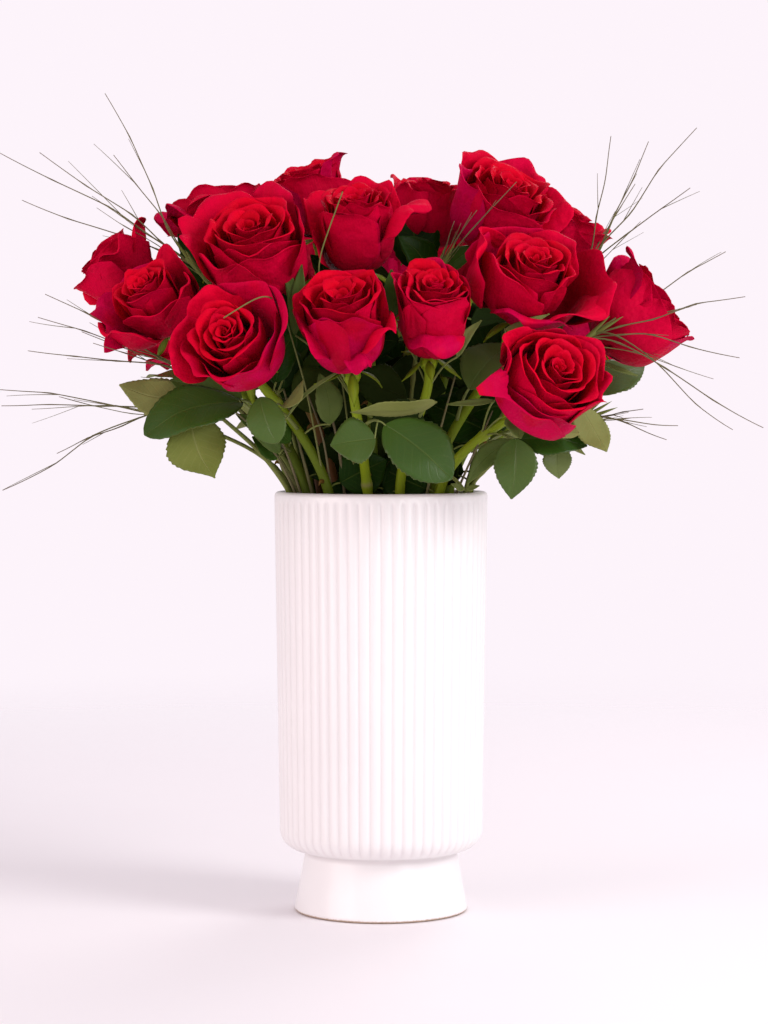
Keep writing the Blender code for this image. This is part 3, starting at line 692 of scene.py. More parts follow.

# The leaves low on the stems -------------------------------
# Single leaves left on the stems inside the bunch, which fill the gaps between the heads and shade the
# stems behind the front ones, and loose sepals. Most are painted nearly black, as painted shade. They are
# too close together to be solids of their own.

# Those with a place of their own, by the number of the rose: the start of each blade, its tip and its width,
# all in mm, and its tone, where tones near 0 paint the blade nearly black as shade.
YOUNG = {
    2: [((-60, -46, 280), (-85, -50, 304), 13, 0.4), ((-54, -40, 286), (-74, -46, 311), 15, 0.1),
        ((-62, -38, 276), (-76, -42, 290), 12, 0.1)],
    3: [((-30, -55, 297), (-36, -57, 327), 15, 0.6), ((-62, -50, 322), (-51, -50, 352), 17, 0.03),
        ((-58, -40, 318), (-60, -42, 350), 20, 0.0), ((-50, -30, 338), (-60, -32, 376), 26, 0.0)],
    4: [((-108, 12, 380), (-124, 12, 415), 18, 0.02)],
    7: [((-28, -30, 372), (-40, -48, 397), 17, 0.05), ((-18, -26, 374), (-32, -28, 404), 22, 0.0)],
    8: [((31, -10, 384), (12, -22, 410), 22, 0.03), ((36, -20, 386), (58, -30, 403), 14, 0.1),
        ((24, -4, 390), (13, 0, 428), 28, 0.0)],
    9: [((-50, -73, 349), (-57, -76, 391), 8, 0.35), ((-44, -73, 349), (-46, -76, 390), 9, 0.4),
        ((-24, -86, 328), (-57, -90, 300), 2.4, 1.0)],
    10: [((5, -73, 358), (6, -76, 387), 13, 0.2), ((44, -85, 336), (58, -83, 358), 6, 1.0)],
    13: [((72, -80, 352), (97, -85, 362), 5, 1.0), ((58, -22, 330), (70, -26, 358), 22, 0.0)],
    14: [((77, -66, 288), (50, -60, 263), 13, 0.5), ((66, -79, 311), (38, -80, 310), 4.5, 0.7),
         ((79, -70, 304), (81, -85, 290), 13, 0.6), ((49, -44, 258), (42, -48, 262), 4, 1.0),
         ((50, -44, 258), (58, -48, 261), 4, 1.0)],
    15: [((133, -24, 334), (154, -28, 327), 3.5, 0.9)],
}
LOWEST_TIP = VASE_HEIGHT + 0.016
FRONT = -0.045
FEW_LEAVES, MANY_LEAVES = 2, 7

dull_green = foliage("rose leaf low in the bunch", 0.05)
rng = np.random.default_rng(23)
for number, head in enumerate(HEADS, 1):
    base, axis = seats[head]
    stem = head.replace("head", "stem")
    line = middle_line(stem, VASE_HEIGHT - 0.004, base[2] - 0.02, 30)
    parts = Parts("along", "across", "upper", "tone")
    for seed, (root, tip, width, tone) in enumerate(YOUNG.get(number, [])):
        root, tip = metres(root), metres(tip)
        bare_stalk(parts, line[np.linalg.norm(line - root, axis=1).argmin()], root, 0.0006, 0.8)
        leaflet(parts, root, tip, (0, -0.8, 0.6), width / 1000, 0, seed, tone, teeth=6, columns=7)
    count = MANY_LEAVES if base[1] > FRONT else FEW_LEAVES
    for share in np.linspace(0.14, 0.88, count) + rng.uniform(-0.05, 0.05, count):
        k = int(share * (len(line) - 1))
        outward = unit(np.array((rng.choice((-1, 1)), rng.uniform(0.1, 0.8), rng.uniform(-0.45, 0.45))))
        joint = line[k] + outward * rng.uniform(0.006, 0.012)
        reach = rng.uniform(0.030, 0.042)
        tip = joint + outward * reach
        # A tip that would stick out of the bunch's side is turned back to the other side of its stem.
        if np.hypot(tip[0], tip[1]) > 0.046 + 0.8 * (tip[2] - VASE_HEIGHT):
            outward = unit(np.array((-np.sign(tip[0]), outward[1] * 0.3, 0.5)))
            joint = line[k] + outward * 0.008
            tip = joint + outward * reach
        tip[2] = max(tip[2], LOWEST_TIP)
        bare_stalk(parts, line[k], joint, 0.0006, 0.25)
        up = np.array((rng.normal() * 0.4, rng.choice((-1.0, 1.0)), 0.4))
        # A tone near 0 paints these leaves nearly black, as painted shade.
        width, seed, tone = rng.uniform(0.027, 0.034), rng.integers(9999), rng.uniform(0, 0.03)
        leaflet(parts, joint, tip, up, width, 0, seed, tone, teeth=8, columns=7)
    parts.piece(stem.replace("stem", "low_leaves"), dull_green, None, "leaves")

# The grass -------------------------------------------------
# Dried wiry grass, tucked between the roses: a thin jointed stem whose sheaths open into a fan of
# hair-fine olive-brown branches, each with a fork or two near its tip.

# For each CAD grass stem: where its branches spring from, and where each one ends, all in mm.
SPRAYS = {
    "grass_1": ((-118, -8, 401), [
        (-168, 4, 498), (-234, 10, 463), (-205, -20, 460), (-220, 14, 434), (-160, -26, 458)]),
    "grass_2": ((-114, -40, 330), [
        (-196, -70, 373), (-202, -56, 360), (-206, -72, 340), (-166, -90, 344), (-178, -40, 352)]),
    "grass_3": ((-128, -30, 306), [(-232, -34, 318), (-230, -10, 308), (-224, -50, 258), (-190, -66, 280)]),
    "grass_4": ((128, 6, 392), [
        (192, 2, 477), (164, 16, 470), (139, -8, 471), (186, -18, 439), (158, 40, 446)]),
    "grass_5": ((122, -50, 358), [
        (214, -60, 372), (206, -30, 400), (210, -66, 336), (226, -52, 295), (204, -84, 294)]),
    "grass_6": ((126, -34, 303), [(168, -60, 288), (152, -84, 306), (180, -10, 296)]),
    "grass_7": ((38, -48, 392), [(43, -64, 416), (56, -68, 422), (80, -50, 440)]),
    "grass_8": ((-20, 100, 322), [
        (-84, 176, 372), (-10, 190, 402), (64, 180, 360), (-40, 172, 296), (30, 170, 318)]),
}


def straw():
    """Olive brown, greener where it is younger and a little redder at the tips."""
    dry = Finish("wiry grass", Specular_IOR_Level=0.3)
    along, green = dry.mark("along"), dry.mark("green")
    grain = dry.noise(dry.place(), scale=120, detail=3)
    tone = dry.mix(grain, (0.075, 0.062, 0.028), (0.17, 0.14, 0.07))
    tone = dry.mix(green * (0.6 + grain * 0.4), tone, (0.15, 0.19, 0.03))
    tone = dry.mix(0.5 * along.step(0.8, 1.0), tone, (0.14, 0.085, 0.06))
    return dry.wear(Base_Color=tone, Roughness=0.65 + grain * 0.2, Normal=dry.bump(grain, 0.0002, 0.6))


def wisp(parts, start, leave, end, thick, chance, green=0.15):
    """Adds a hair-fine branch that bows from start to end, bent a little at its joints and forked once."""
    span = np.linalg.norm(end - start)
    t = np.linspace(0, 1, max(10, int(span / 0.005)))[:, None]
    ahead = (end - start) / span
    pull = leave * span * 0.9
    curve = ((2 * t**3 - 3 * t**2 + 1) * start + (t**3 - 2 * t**2 + t) * pull
             + (3 * t**2 - 2 * t**3) * end + (t**3 - t**2) * ahead * span)
    joints = (0, 0.22, 0.45, 0.72, 1)
    sway = np.concatenate([np.zeros((1, 3)), chance.normal(size=(3, 3)) * 0.016 * span, np.zeros((1, 3))])
    line = curve + np.stack([np.interp(t[:, 0], joints, sway[:, k]) for k in range(3)], axis=1)
    line = softened(line, 1)
    radii = thick * (1 - 0.55 * t[:, 0])
    knots = sum(hump(t[:, 0], joint, 0.02) for joint in joints[1:4])
    points, faces, share = tube(line, radii * (1 + 0.6 * knots), 6)
    parts.take(points, faces, along=share, green=np.clip(green + 0.5 - share, 0, 1) * 0.8)
    k = int(chance.uniform(0.35, 0.8) * (len(line) - 1))
    way = unit(line[min(k + 2, len(line) - 1)] - line[k])
    way = unit(way + chance.normal(size=3) * 0.16)
    reach = chance.uniform(0.18, 0.42) * span
    s = np.linspace(0, 1, 9)[:, None]
    bow = chance.normal(size=3) * 0.05 * reach
    fork = line[k] + way * reach * s + bow * np.sin(math.pi * s * 0.5)
    points, faces, share = tube(fork, 0.55 * thick * (1 - 0.5 * s[:, 0]), 5)
    parts.take(points, faces, along=0.5 + 0.5 * share, green=0.1)


GRASS_RADIUS = 0.00125
BRANCH_RADIUS = 0.00048
BRANCHLET_RADIUS = 0.00034

dry_grass = straw()
for number, (name, (crown, tips)) in enumerate(SPRAYS.items()):
    chance = np.random.default_rng(70 + number)
    crown, tips = metres(crown), [metres(tip) for tip in tips]
    bottom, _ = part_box(name)
    line = middle_line(name, bottom.z + 0.002, crown[2] + 0.01, 90)
    line = line[: np.linalg.norm(line - crown, axis=1).argmin() + 1]
    crown = line[-1]
    line, marks = along_line(softened(along_line(line, 0.005)[0], 5), 0.003)
    radii = np.full(len(marks), GRASS_RADIUS)
    for joint in (marks[-1] - 0.018, marks[-1] - 0.075, marks[-1] - 0.15):
        radii += 0.0005 * hump(marks, joint, 0.003)
    parts = Parts("along", "green")
    points, faces, _ = tube(line, radii, 8)
    parts.take(points, faces, along=0.3, green=0.9)
    ahead = unit(line[-1] - line[-4])
    # Three leaf sheaths, one above the other, that stand off the stem just under the crown.
    for k in range(3):
        way = unit(ahead + chance.normal(size=3) * 0.12)
        reach = chance.uniform(0.016, 0.028)
        s = np.linspace(0, 1, 8)
        sheath = line[-6 + k] + way * reach * s[:, None]
        points, faces, _ = tube(sheath, 0.0012 * np.sin(math.pi * (0.25 + 0.74 * s)) ** 0.8, 8)
        parts.take(points, faces, along=0.2, green=1.0)
    for end in tips:
        leave = 0.55 * ahead + 0.45 * unit(end - crown)
        wisp(parts, crown - ahead * chance.uniform(0, 0.012), leave, end, BRANCH_RADIUS, chance)
    for _ in range(2):
        first, second = chance.integers(0, len(tips), 2)
        share = chance.uniform(0, 1)
        end = tips[first] * share + tips[second] * (1 - share)
        end = crown + (end - crown) * chance.uniform(0.4, 0.8) + chance.normal(size=3) * 0.006
        leave = 0.5 * ahead + 0.5 * unit(end - crown)
        wisp(parts, crown - ahead * chance.uniform(0, 0.02), leave, end, BRANCHLET_RADIUS, chance, green=0.5)
    parts.piece(name.replace("grass", "wiry_grass"), dry_grass, name, "grass")

# Two single blades, the first two, and nine dry stalks among the rose stems: how thick each is, how green it
# is, and points along it, in mm, from among the stems to its tip.
LOOSE = [
    (0.7, 0.7, [(-12, -20, 240), (-24, -56, 330), (-38, -86, 388), (-22, -92, 431)]),
    (0.7, 0.6, [(-30, -25, 240), (-44, -55, 318), (-57, -92, 366), (-66, -122, 372), (-88, -137, 357)]),
    (2.4, 0.9, [(-46, -14, 236), (-55, -20, 258), (-72, -34, 281), (-98, -50, 304)]),
    (1.1, 0.1, [(-44, -20, 236), (-52, -26, 258), (-66, -42, 286), (-90, -54, 308)]),
    (1.6, 0.5, [(-40, -12, 236), (-50, -18, 258), (-64, -30, 282), (-84, -40, 306)]),
    (1.0, 0.0, [(-42, -22, 236), (-49, -28, 258), (-58, -40, 286), (-70, -50, 306)]),
    (1.3, 0.2, [(-36, -20, 236), (-42, -26, 258), (-50, -34, 290), (-58, -40, 318)]),
    (0.9, 0.0, [(-26, -24, 236), (-30, -30, 258), (-34, -44, 290), (-46, -50, 322)]),
    (1.2, 0.0, [(-20, -22, 236), (-22, -30, 258), (-26, -38, 290), (-36, -44, 325)]),
    (1.0, 0.2, [(24, -26, 236), (28, -34, 258), (34, -46, 290), (44, -52, 326)]),
    (0.9, 0.0, [(38, -22, 236), (46, -30, 258), (58, -44, 286), (66, -52, 305)]),
]
parts = Parts("along", "green")
for thick, green, spots in LOOSE:
    stalk = softened(along_line(metres(spots), 0.004)[0], 12)
    points, faces, share = tube(stalk, thick / 1000 * (1 - 0.5 * np.linspace(0, 1, len(stalk))), 6)
    parts.take(points, faces, along=0.6 * share, green=green)
parts.piece("loose_grass", dry_grass, None, "grass")

# The heads -------------------------------------------------
# Fully open red roses: six to eight broad outer petals that roll back at the rim, then petals that stand
# closer and closer, and a heart rolled in a spiral. The petals are velvety scarlet inside, more magenta
# on their backs and darker along their ragged edges, and they press flat where two heads meet.

# By the number of the rose: its outer petals, the way the head faces, where that differs from its solid, and
# how wide its heart is, where 1 is usual. Of each petal: which way it leans (0 is right, 90 up or away, 180
# left and -90 down or to the front), how far it rolls back, its reach and its height, as shares of the head,
# and half its width around the head. Angles are in degrees. Some end with how far one corner is drawn out, as
# a share of the petal's length, and how dull or magenta the petal is, where that isn't left to chance.
# The magenta that a petal's tint brings is partly its own bluer red and partly painted velvet sheen.
BLOOM = {
    1: ([(-100, 50, 0.95, 0.80, 58, 0, 0.3), (-30, 80, 1.00, 0.72, 50), (40, 100, 1.00, 0.70, 50),
         (110, 75, 1.00, 0.76, 50), (180, 95, 1.05, 0.72, 50, 0, 0.4), (-150, 60, 0.90, 0.80, 50, 0, 0.2)],
        (-0.74, 0.02, 0.64), 1.0),
    2: ([(180, 80, 1.08, 0.68, 50), (-130, 75, 1.00, 0.66, 52), (-75, 55, 0.85, 0.72, 55),
         (-15, 60, 0.90, 0.74, 50), (60, 76, 1.08, 0.78, 52), (120, 80, 1.00, 0.72, 50)],
        (-0.42, -0.58, 0.70), 0.88),
    3: ([(-38, 26, 0.80, 0.84, 66, 0, 1), (10, 50, 1.05, 0.86, 54), (-95, 42, 0.72, 0.78, 58),
         (-142, 52, 0.80, 0.78, 50), (170, 70, 0.95, 0.78, 50), (60, 66, 1.00, 0.80, 50),
         (115, 70, 0.92, 0.80, 52)],
        (-0.25, -0.88, 0.40), 0.84),
    4: ([(-50, 28, 0.88, 0.86, 64), (-125, 34, 0.86, 0.82, 60), (2, 55, 1.02, 0.90, 48),
         (180, 80, 1.00, 0.78, 50, 0, 0.4), (60, 62, 0.98, 0.84, 50), (120, 75, 1.00, 0.80, 50)],
        (-0.12, -0.62, 0.78), 1.0),
    6: ([(-4, 60, 0.80, 0.96, 48), (-70, 40, 0.84, 0.88, 55, 0, 0.5), (-140, 60, 0.96, 0.84, 52),
         (180, 62, 0.98, 0.78, 50), (110, 58, 0.92, 0.86, 52), (50, 52, 0.78, 0.94, 50)],
        (-0.25, -0.20, 0.95), 0.9),
    7: ([(-122, 18, 0.68, 0.92, 64), (-16, 116, 1.06, 0.98, 36, 0, 0.1), (190, 80, 0.86, 0.50, 30),
         (165, 22, 0.62, 0.88, 58), (-34, 20, 0.62, 0.90, 62), (75, 75, 0.95, 0.80, 55),
         (140, 80, 1.00, 0.74, 46)],
        (-0.10, -0.45, 0.89), 0.88),
    8: ([(-95, 30, 0.80, 0.84, 58), (-30, 46, 0.92, 0.86, 52), (-150, 46, 0.92, 0.86, 52),
         (28, 60, 1.00, 0.86, 52), (88, 56, 0.98, 0.92, 54), (150, 60, 1.00, 0.88, 52)],
        None, 1.0),
    9: ([(-92, 18, 0.70, 0.90, 56), (-158, 96, 1.06, 0.68, 46), (-24, 96, 1.06, 0.68, 46),
         (-78, 140, 0.68, 0.38, 30, 0, 1), (90, 55, 0.80, 0.86, 55), (150, 85, 0.92, 0.76, 50),
         (35, 80, 0.90, 0.78, 50)],
        (-0.10, -0.57, 0.81), 1.02),
    10: ([(-76, 148, 1.00, 0.42, 60, 0, 1), (-50, 22, 0.86, 0.90, 62), (-130, 26, 0.84, 0.88, 60),
          (14, 56, 1.10, 0.82, 52), (168, 60, 1.00, 0.80, 50), (90, 48, 0.94, 0.88, 50)],
         (0.06, -0.56, 0.83), 1.22),
    11: ([(-120, 28, 0.86, 0.90, 66, 0, 0.4), (-50, 38, 0.84, 0.86, 58), (190, 45, 0.92, 0.92, 48),
          (8, 86, 1.10, 0.80, 50), (60, 70, 1.00, 0.84, 50), (120, 50, 0.92, 0.92, 50)],
         (0.37, -0.50, 0.79), 1.02),
    12: ([(0, 60, 1.06, 0.86, 46), (-60, 50, 0.95, 0.84, 52), (-120, 45, 0.90, 0.84, 54),
          (60, 80, 1.00, 0.78, 50), (120, 80, 1.00, 0.78, 50), (180, 60, 0.90, 0.84, 50)],
         (0.45, -0.20, 0.82), 1.0),
    13: ([(-148, 24, 0.70, 0.92, 66, 0, 0.3), (2, 84, 1.18, 0.76, 44), (-42, 108, 1.04, 0.64, 48),
          (-92, 126, 0.92, 0.52, 46, 0, 1), (52, 58, 0.74, 0.88, 46), (112, 62, 0.88, 0.86, 55),
          (165, 42, 0.82, 0.92, 52)],
         (0.22, -0.62, 0.75), 0.80),
    14: ([(236, 46, 0.92, 0.72, 52, 0.85, 0.8), (-112, 32, 0.80, 0.73, 60, 0, 1),
          (-70, 38, 0.72, 0.69, 60, 0, 0.9), (-10, 44, 0.86, 0.82, 54), (50, 48, 0.90, 0.86, 52),
          (108, 52, 0.92, 0.86, 52), (156, 50, 0.94, 0.86, 48)],
         (0.42, -0.77, 0.48), 1.05),
    15: ([(-90, 28, 0.84, 0.92, 58), (-30, 50, 0.95, 0.88, 50), (-150, 34, 0.90, 0.88, 58),
          (30, 70, 1.00, 0.86, 50), (90, 56, 1.00, 0.90, 52), (150, 64, 1.00, 0.86, 50)],
         (0.80, 0.05, 0.58), 1.15),
}

# The rings of petals inside the outer ones. Of each: how many petals; then, from its first petal to its last,
# their reach and height, as shares of the head, how far they roll back and half the width of one around the
# head, in degrees.
RINGS = (
    dict(count=6, reach=(0.74, 0.64), top=(0.88, 0.96), roll=(42, 34), half=(64, 72)),
    dict(count=8, reach=(0.58, 0.36), top=(0.95, 0.99), roll=(36, 28), half=(74, 90)),
    dict(count=8, reach=(0.31, 0.06), top=(0.99, 0.93), roll=(24, 8), half=(98, 170)),
)
GOLDEN_ANGLE = math.radians(137.5)
PETAL_THICKNESS = 0.0004
SEAT_GAP = 0.0004
OUTER_GRID, INNER_GRID = (20, 17), (15, 13)


def velvet():
    """Scarlet inside, crimson on the back, painted shade in the throat, crumpled, magenta in part as painted
    sheen.
    """
    petal = Finish("rose petal", Specular_IOR_Level=0.03, Sheen_Weight=0.02, Sheen_Roughness=0.5,
                   Sheen_Tint=(1.0, 0.1, 0.3, 1))
    along, across = petal.mark("along"), petal.mark("across")
    inner, own, layer = petal.mark("upper"), petal.mark("own"), petal.mark("layer")
    side = abs(across)
    here = petal.place()
    cloud = petal.noise(here, scale=55, detail=3)
    crumple = petal.noise(here, scale=150, detail=2)
    grain = petal.noise(here, scale=1400, detail=1)
    lines = petal.add("ShaderNodeCombineXYZ", {}, across * 26 + own * 40, along * 1.6, own * 10)
    streak = petal.noise(lines, scale=1.0, detail=3)
    face = petal.mix(own, (0.70, 0.0, 0.018), (0.54, 0.0, 0.011))
    outermost = 1 - layer.step(0.12, 0.34)
    # Outermost petals: a duller, bluer red, partly their own colour and partly painted velvet sheen.
    face = petal.mix(outermost * 0.8, face, (0.58, 0.0, 0.030))
    # Painted shade: the inner face darkens towards the petal's base, deep in the throat.
    face = petal.mix((1 - along.step(0.15, 0.85)) * 0.95, face, (0.11, 0.0, 0.001))
    back = petal.mix(own, (0.58, 0.0, 0.034), (0.42, 0.0, 0.018))
    # Painted shade: the back darkens towards the base as well.
    back = petal.mix((1 - along.step(0.1, 0.85)) * 0.8, back, (0.19, 0.0, 0.006))
    tone = petal.mix(inner, back, face)
    # Magenta patches on the outermost petals: partly their own bluer red, partly painted velvet sheen.
    tone = petal.mix(outermost * own.step(0.5, 0.9) * cloud.step(0.25, 0.55) * 0.8, tone, (0.46, 0.0, 0.058))
    tone = petal.mix(streak.step(0.45, 0.75) * 0.16, tone, (0.28, 0.0, 0.012))
    tone = petal.mix(cloud.step(0.45, 0.75) * 0.3, tone, (0.60, 0.0, 0.045))
    tone = petal.mix(crumple.step(0.52, 0.72) * 0.25, tone, (0.32, 0.0, 0.012))
    edge = (along + side**6 * 0.10 + (cloud - 0.5) * 0.12).step(0.93, 1.02)
    tone = petal.mix(edge * 0.22, tone, (0.30, 0.0, 0.02))
    return petal.wear(
        Base_Color=tone,
        Roughness=0.52 + grain * 0.16,
        Normal=petal.bump(streak * 0.7 + grain * 0.12 + cloud * 0.8 + crumple * 4.0, 0.0006, 0.7),
    )


def petal_grid(reach, top, roll, half, radius, horn, chance, rows, columns):
    """One petal in the head's own frame: a grid of points, as rows from base to rim and columns across.

    reach and top are in metres, roll and half in degrees, and radius is half the width of the whole head.
    horn is how far one corner of the petal is drawn out, as a share of its length."""
    outward = reach / radius
    fall = math.radians(max(roll - 40, 0)) * 1.05
    lip = math.radians(float(np.interp(roll, (0, 20, 60, 120), (10, 62, 78, 50))))
    free = float(smooth(roll, 45, 80))
    bowl = 0.56 - 0.12 * free
    corner, tip = 0.05 + 0.20 * min(outward, 1), 0.010 + 0.05 * free
    edge = (0.05 + 0.16 * free) * min(radius, 1.4 * top) * chance.uniform(0.7, 1.3)
    wave = 0.0003 + 0.0018 * smooth(outward, 0.2, 1.0)
    v = 1 - (1 - np.linspace(0, 1, rows)[:, None]) ** 1.35
    u = np.linspace(-1, 1, columns)[None, :]
    waves = (1.3, 2.4, 3.9) if outward > 0.78 else (1.3, 2.2)
    ragged = sum(chance.normal() * 0.026 / f * np.sin(f * math.pi * u + chance.uniform(0, 6.3))
                 for f in waves)
    rim = 1 - corner * np.abs(u) ** 2.8 + chance.uniform(-0.05, 0.05) * u + ragged * (0.7 + 1.3 * free)
    rim = rim + tip * chance.uniform(0.3, 1.4) * hump(u, 0, 0.28)
    rim = rim + horn * hump(u, -0.72, 0.24)
    s = v * rim
    # The petal's profile, from how steeply it stands at each step of its length.
    steps = np.linspace(0, 1.15, 116)
    steep = 90 - 8 * free + 5 * float(smooth(0.55 - outward, 0, 0.2))
    pitch = math.radians(26) + math.radians(steep - 26) * smooth(steps, 0.0, bowl)
    pitch = pitch - fall * smooth(steps, 0.38, 0.95) - lip * smooth(steps, 0.88, 1.03)
    out, up = np.cumsum(np.cos(pitch)), np.cumsum(np.sin(pitch))
    out, up = out - out[0], up - up[0]
    size = min(top / up.max(), 1.6 * radius / 100)
    crest = int(90 - 42 * free)
    beyond = (out[crest:] - out[crest]) * size
    cup = max(reach - beyond.max(), 0.42 * reach)
    beyond = beyond * min(1, (reach - cup) / max(beyond.max(), 1e-6))
    base = min(0.0034, 0.45 * cup)
    profile = np.concatenate([base + (cup - base) * out[:crest] / out[: crest + 1].max(), cup + beyond])
    past = np.maximum(s - steps[-1], 0) / (steps[-1] - steps[-2])
    r = np.interp(s, steps, profile) + past * (profile[-1] - profile[-2])
    z = np.interp(s, steps, up * size) + past * (up[-1] - up[-2]) * size
    # Its width, its rolled sides and its ripples.
    width = 0.24 + 0.76 * smooth(s, 0.0, 0.5) - 0.10 * smooth(s, 0.75, 1.0)
    angle = math.radians(half) * width * u * (cup / np.maximum(r, cup)) ** 0.45
    r = r + 0.0014 * u * smooth(s, 0.1, 0.5) * (outward + 0.4)
    curl = smooth(np.abs(u), 0.5, 1.0) ** 1.6 * smooth(s, 0.3, 0.75)
    lean_there = np.interp(s, steps, pitch)
    r = r + edge * curl * np.sin(lean_there)
    z = z - edge * curl * np.cos(lean_there)
    r = r * (1 + 0.17 * u * smooth(0.45 - outward, 0, 0.1))
    ripples = [sum(chance.normal() * np.sin(f * u + chance.uniform(0, 6.3)) for f in (2.6, 4.6, 7.5))
               for _ in range(2)]
    upper = smooth(s, 0.4, 0.95)
    r = r + 0.7 * wave * ripples[0] * upper
    z = z + 0.6 * wave * ripples[1] * upper
    crimp = 0.0004 * free * chance.normal() * np.sin(9 * u + chance.uniform(0, 6.3)) * smooth(s, 0.7, 1.0)
    r, z = r + crimp * np.sin(lean_there), z - crimp * np.cos(lean_there)
    belly = wave * chance.normal() * np.sin(math.pi * np.clip(s, 0, 1))
    r = r + belly * np.cos(1.6 * u + chance.uniform(-1, 1))
    return np.stack([r * np.cos(angle), r * np.sin(angle), z], axis=2), s, u * np.ones_like(s)


def thickened(grid, thickness):
    """A grid of points as a closed sheet, thin at its rim: its points and its faces."""
    rows, columns, _ = grid.shape
    thick = np.full((rows, columns, 1), thickness)
    thick[-1] = thick[:, 0] = thick[:, -1] = 0.2 * thickness
    back = grid + thick * normals(grid)
    points = np.concatenate([grid.reshape(-1, 3), back.reshape(-1, 3)])
    return points, sheet_faces(rows, columns, BACKWARDS)


def size_of(head):
    """A head's centre, half its width and its height, from its solid."""
    base, axis = seats[head]
    away = node_points(head) - base
    height = away @ axis
    side = away - height[:, None] * axis
    return base + axis * height.max() * 0.52, np.linalg.norm(side, axis=1).max() * 0.95, height.max()


sizes = {head: size_of(head) for head in HEADS}


def pressed(points, head):
    """Points of one head after its neighbours press on it, so that each stays on its own side."""
    centre, half, _ = sizes[head]
    give, gap = 0.009, 0.0006
    for other, (place, other_half, _) in sizes.items():
        span = np.linalg.norm(place - centre)
        if other == head or span > 1.5 * (half + other_half):
            continue
        way = (place - centre) / span
        limit = span * half / (half + other_half) - gap - give
        beyond = (points - centre) @ way - limit
        shift = np.where(beyond > 0, beyond - give * (1 - np.exp(-np.clip(beyond, 0, None) / give)), 0)
        points = points - shift[:, None] * way
    return points


def outer_petals(number, chance):
    """A head's outer petals, the way it faces and how wide its heart is. At the back chance has its say."""
    if number in BLOOM:
        return BLOOM[number]
    outer = [(72 * k + chance.uniform(-15, 15), chance.uniform(60, 110), 1.0, chance.uniform(0.66, 0.8), 52)
             for k in range(5)]
    return outer + [(72 * k + 40, 60, 0.86, 0.8, 55) for k in range(3)], None, 1.0


red_velvet = velvet()
for number, head in enumerate(HEADS, 1):
    chance = np.random.default_rng(499 + number)
    base, axis = seats[head]
    _, half, tall = sizes[head]
    outer, way, heart = outer_petals(number, chance)
    petals = []
    for lean, roll, reach, top, wide, *more in outer:
        horn, tint = more or (0, 0)
        petals.append((math.radians(lean), reach, top, roll, wide, horn, tint))
    lean = chance.uniform(0, 6.3)
    for ring in RINGS:
        for share in np.linspace(0, 1, ring["count"]):
            reach, top, roll, wide = (ring[key][0] + (ring[key][1] - ring[key][0]) * share
                                      for key in ("reach", "top", "roll", "half"))
            lean += GOLDEN_ANGLE + chance.uniform(-0.12, 0.12)
            petals.append((lean, reach * heart, top, roll * chance.uniform(0.8, 1.2), wide, 0, 0))
    if way:
        axis = unit(way)
    turn = frame_along(axis, (0, 0.6, 0.8))
    parts = Parts("along", "across", "upper", "own", "layer")
    for rank, (lean, reach, top, roll, wide, horn, tint) in enumerate(petals):
        rows_and_columns = OUTER_GRID if rank < len(outer) else INNER_GRID
        top *= tall * chance.uniform(1.0, 1.05)
        grid, s, u = petal_grid(reach * half, top, roll, wide, half, horn, chance, *rows_and_columns)
        x, y, z = np.moveaxis(grid, 2, 0)
        c, sn = math.cos(lean), math.sin(lean)
        leaning = np.stack([c * x - sn * y, sn * x + c * y, z], axis=2)
        points, faces = thickened(base + axis * SEAT_GAP + leaning @ turn, PETAL_THICKNESS)
        own = chance.uniform()
        parts.take(pressed(points, head), faces, along=np.tile(s.ravel(), 2), across=np.tile(u.ravel(), 2),
                   upper=np.repeat([0.0, 1.0], s.size), own=tint or own, layer=rank / len(petals))
    parts.piece(head.replace("head", "bloom"), red_velvet, head, "petals")

# The studio ------------------------------------------------
# A plain pale floor that fades out into the backdrop, soft light from the front right, and a long
# lens a little above the rim of the vase.


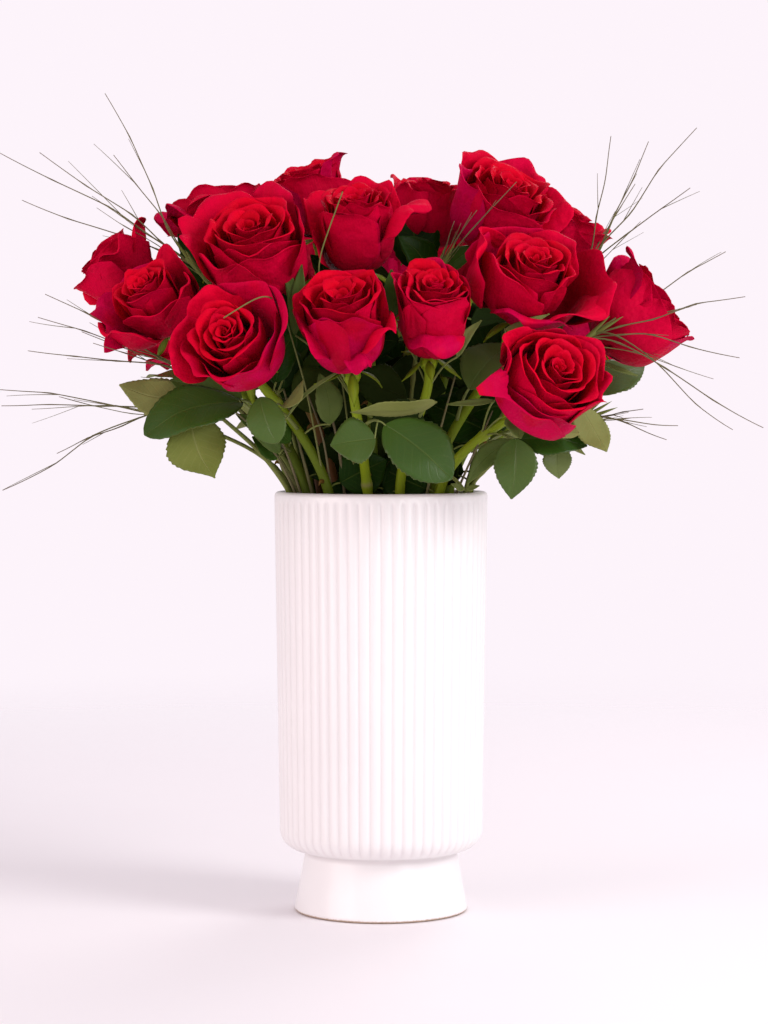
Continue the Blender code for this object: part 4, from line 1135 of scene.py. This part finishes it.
def floor():
    """A wide round floor whose far parts are clear, so that it has no edge."""
    rings, sides, radius = 24, 96, 2.4
    reach = radius * np.linspace(0, 1, rings + 1)[1:] ** 1.5
    angle = np.arange(sides) * 2 * math.pi / sides
    around = [np.stack([r * np.cos(angle), r * np.sin(angle), 0 * angle], 1) for r in reach]
    points = np.concatenate([[[0, 0, 0]], *around])
    faces = [(0, 1 + j, 1 + (j + 1) % sides) for j in range(sides)]
    faces += (ring_faces(rings, sides)[:, BACKWARDS] + 1).tolist()
    pale = Finish("pale floor", Specular_IOR_Level=0.2)
    here = pale.place()
    away = pale.add("ShaderNodeVectorMath", dict(operation="LENGTH"), here, output="Value")
    mottle = pale.noise(here, scale=6, detail=2)
    pale.wear(
        Base_Color=pale.mix(mottle, (0.88, 0.845, 0.870), (0.86, 0.825, 0.850)),
        Roughness=0.5 + mottle * 0.1,
        Alpha=1 - away.step(0.45, 1.6),
        Normal=pale.bump(mottle, 0.0005, 0.3),
    )
    mesh = bpy.data.meshes.new("floor")
    mesh.from_pydata(points.tolist(), [], faces)
    mesh.materials.append(pale.material)
    made = bpy.data.objects.new("floor", mesh)
    bpy.context.scene.collection.objects.link(made)
    made.location.z = -0.0002


floor()


def lamp(name, place, aim, size, watts, colour):
    """A round soft lamp at place, turned towards aim."""
    data = bpy.data.lights.new(name, "AREA")
    data.shape, data.size, data.energy, data.color = "DISK", size, watts, colour
    made = bpy.data.objects.new(name, data)
    made.location = place
    made.rotation_euler = (Vector(aim) - Vector(place)).to_track_quat("-Z", "Y").to_euler()
    bpy.context.scene.collection.objects.link(made)


lamp("key", (1.45, -0.92, 1.2), (0, 0, 0.3), 0.9, 20.8, (1.0, 1.0, 0.99))
lamp("fill", (-1.5, -1.0, 0.5), (0, 0, 0.2), 1.4, 13.5, (1.0, 0.87, 0.84))
lamp("low", (0.9, -1.3, 0.12), (0, 0, 0.24), 0.5, 3.2, (1.0, 0.99, 0.99))
lamp("back", (0.6, 1.3, 1.3), (0, 0, 0.35), 0.9, 8, (1.0, 0.97, 0.98))

# The backdrop lights the bunch a little less than it shows to the camera.
SEEN_STRENGTH, LIGHTING_STRENGTH = 1.0, 0.73
world = bpy.data.worlds.new("studio")
bpy.context.scene.world = world
world.use_nodes = True
nodes, links = world.node_tree.nodes, world.node_tree.links
backdrop = nodes["Background"]
backdrop.inputs["Color"].default_value = (0.985, 0.905, 0.965, 1)
rays = nodes.new("ShaderNodeLightPath")
strength = nodes.new("ShaderNodeMapRange")
strength.inputs["To Min"].default_value = LIGHTING_STRENGTH
strength.inputs["To Max"].default_value = SEEN_STRENGTH
links.new(rays.outputs["Is Camera Ray"], strength.inputs["Value"])
links.new(strength.outputs["Result"], backdrop.inputs["Strength"])

DEGREES_BELOW_LEVEL = 2.07
lens = bpy.data.cameras.new("camera")
lens.lens = 98.44
lens.sensor_width = 36
lens.clip_start = 0.05
camera = bpy.data.objects.new("camera", lens)
camera.location = (0.0018, -1.708, 0.305)
camera.rotation_euler = (math.radians(90 - DEGREES_BELOW_LEVEL), 0, 0)
bpy.context.scene.collection.objects.link(camera)
bpy.context.scene.camera = camera
bpy.context.scene.view_settings.view_transform = "Standard"
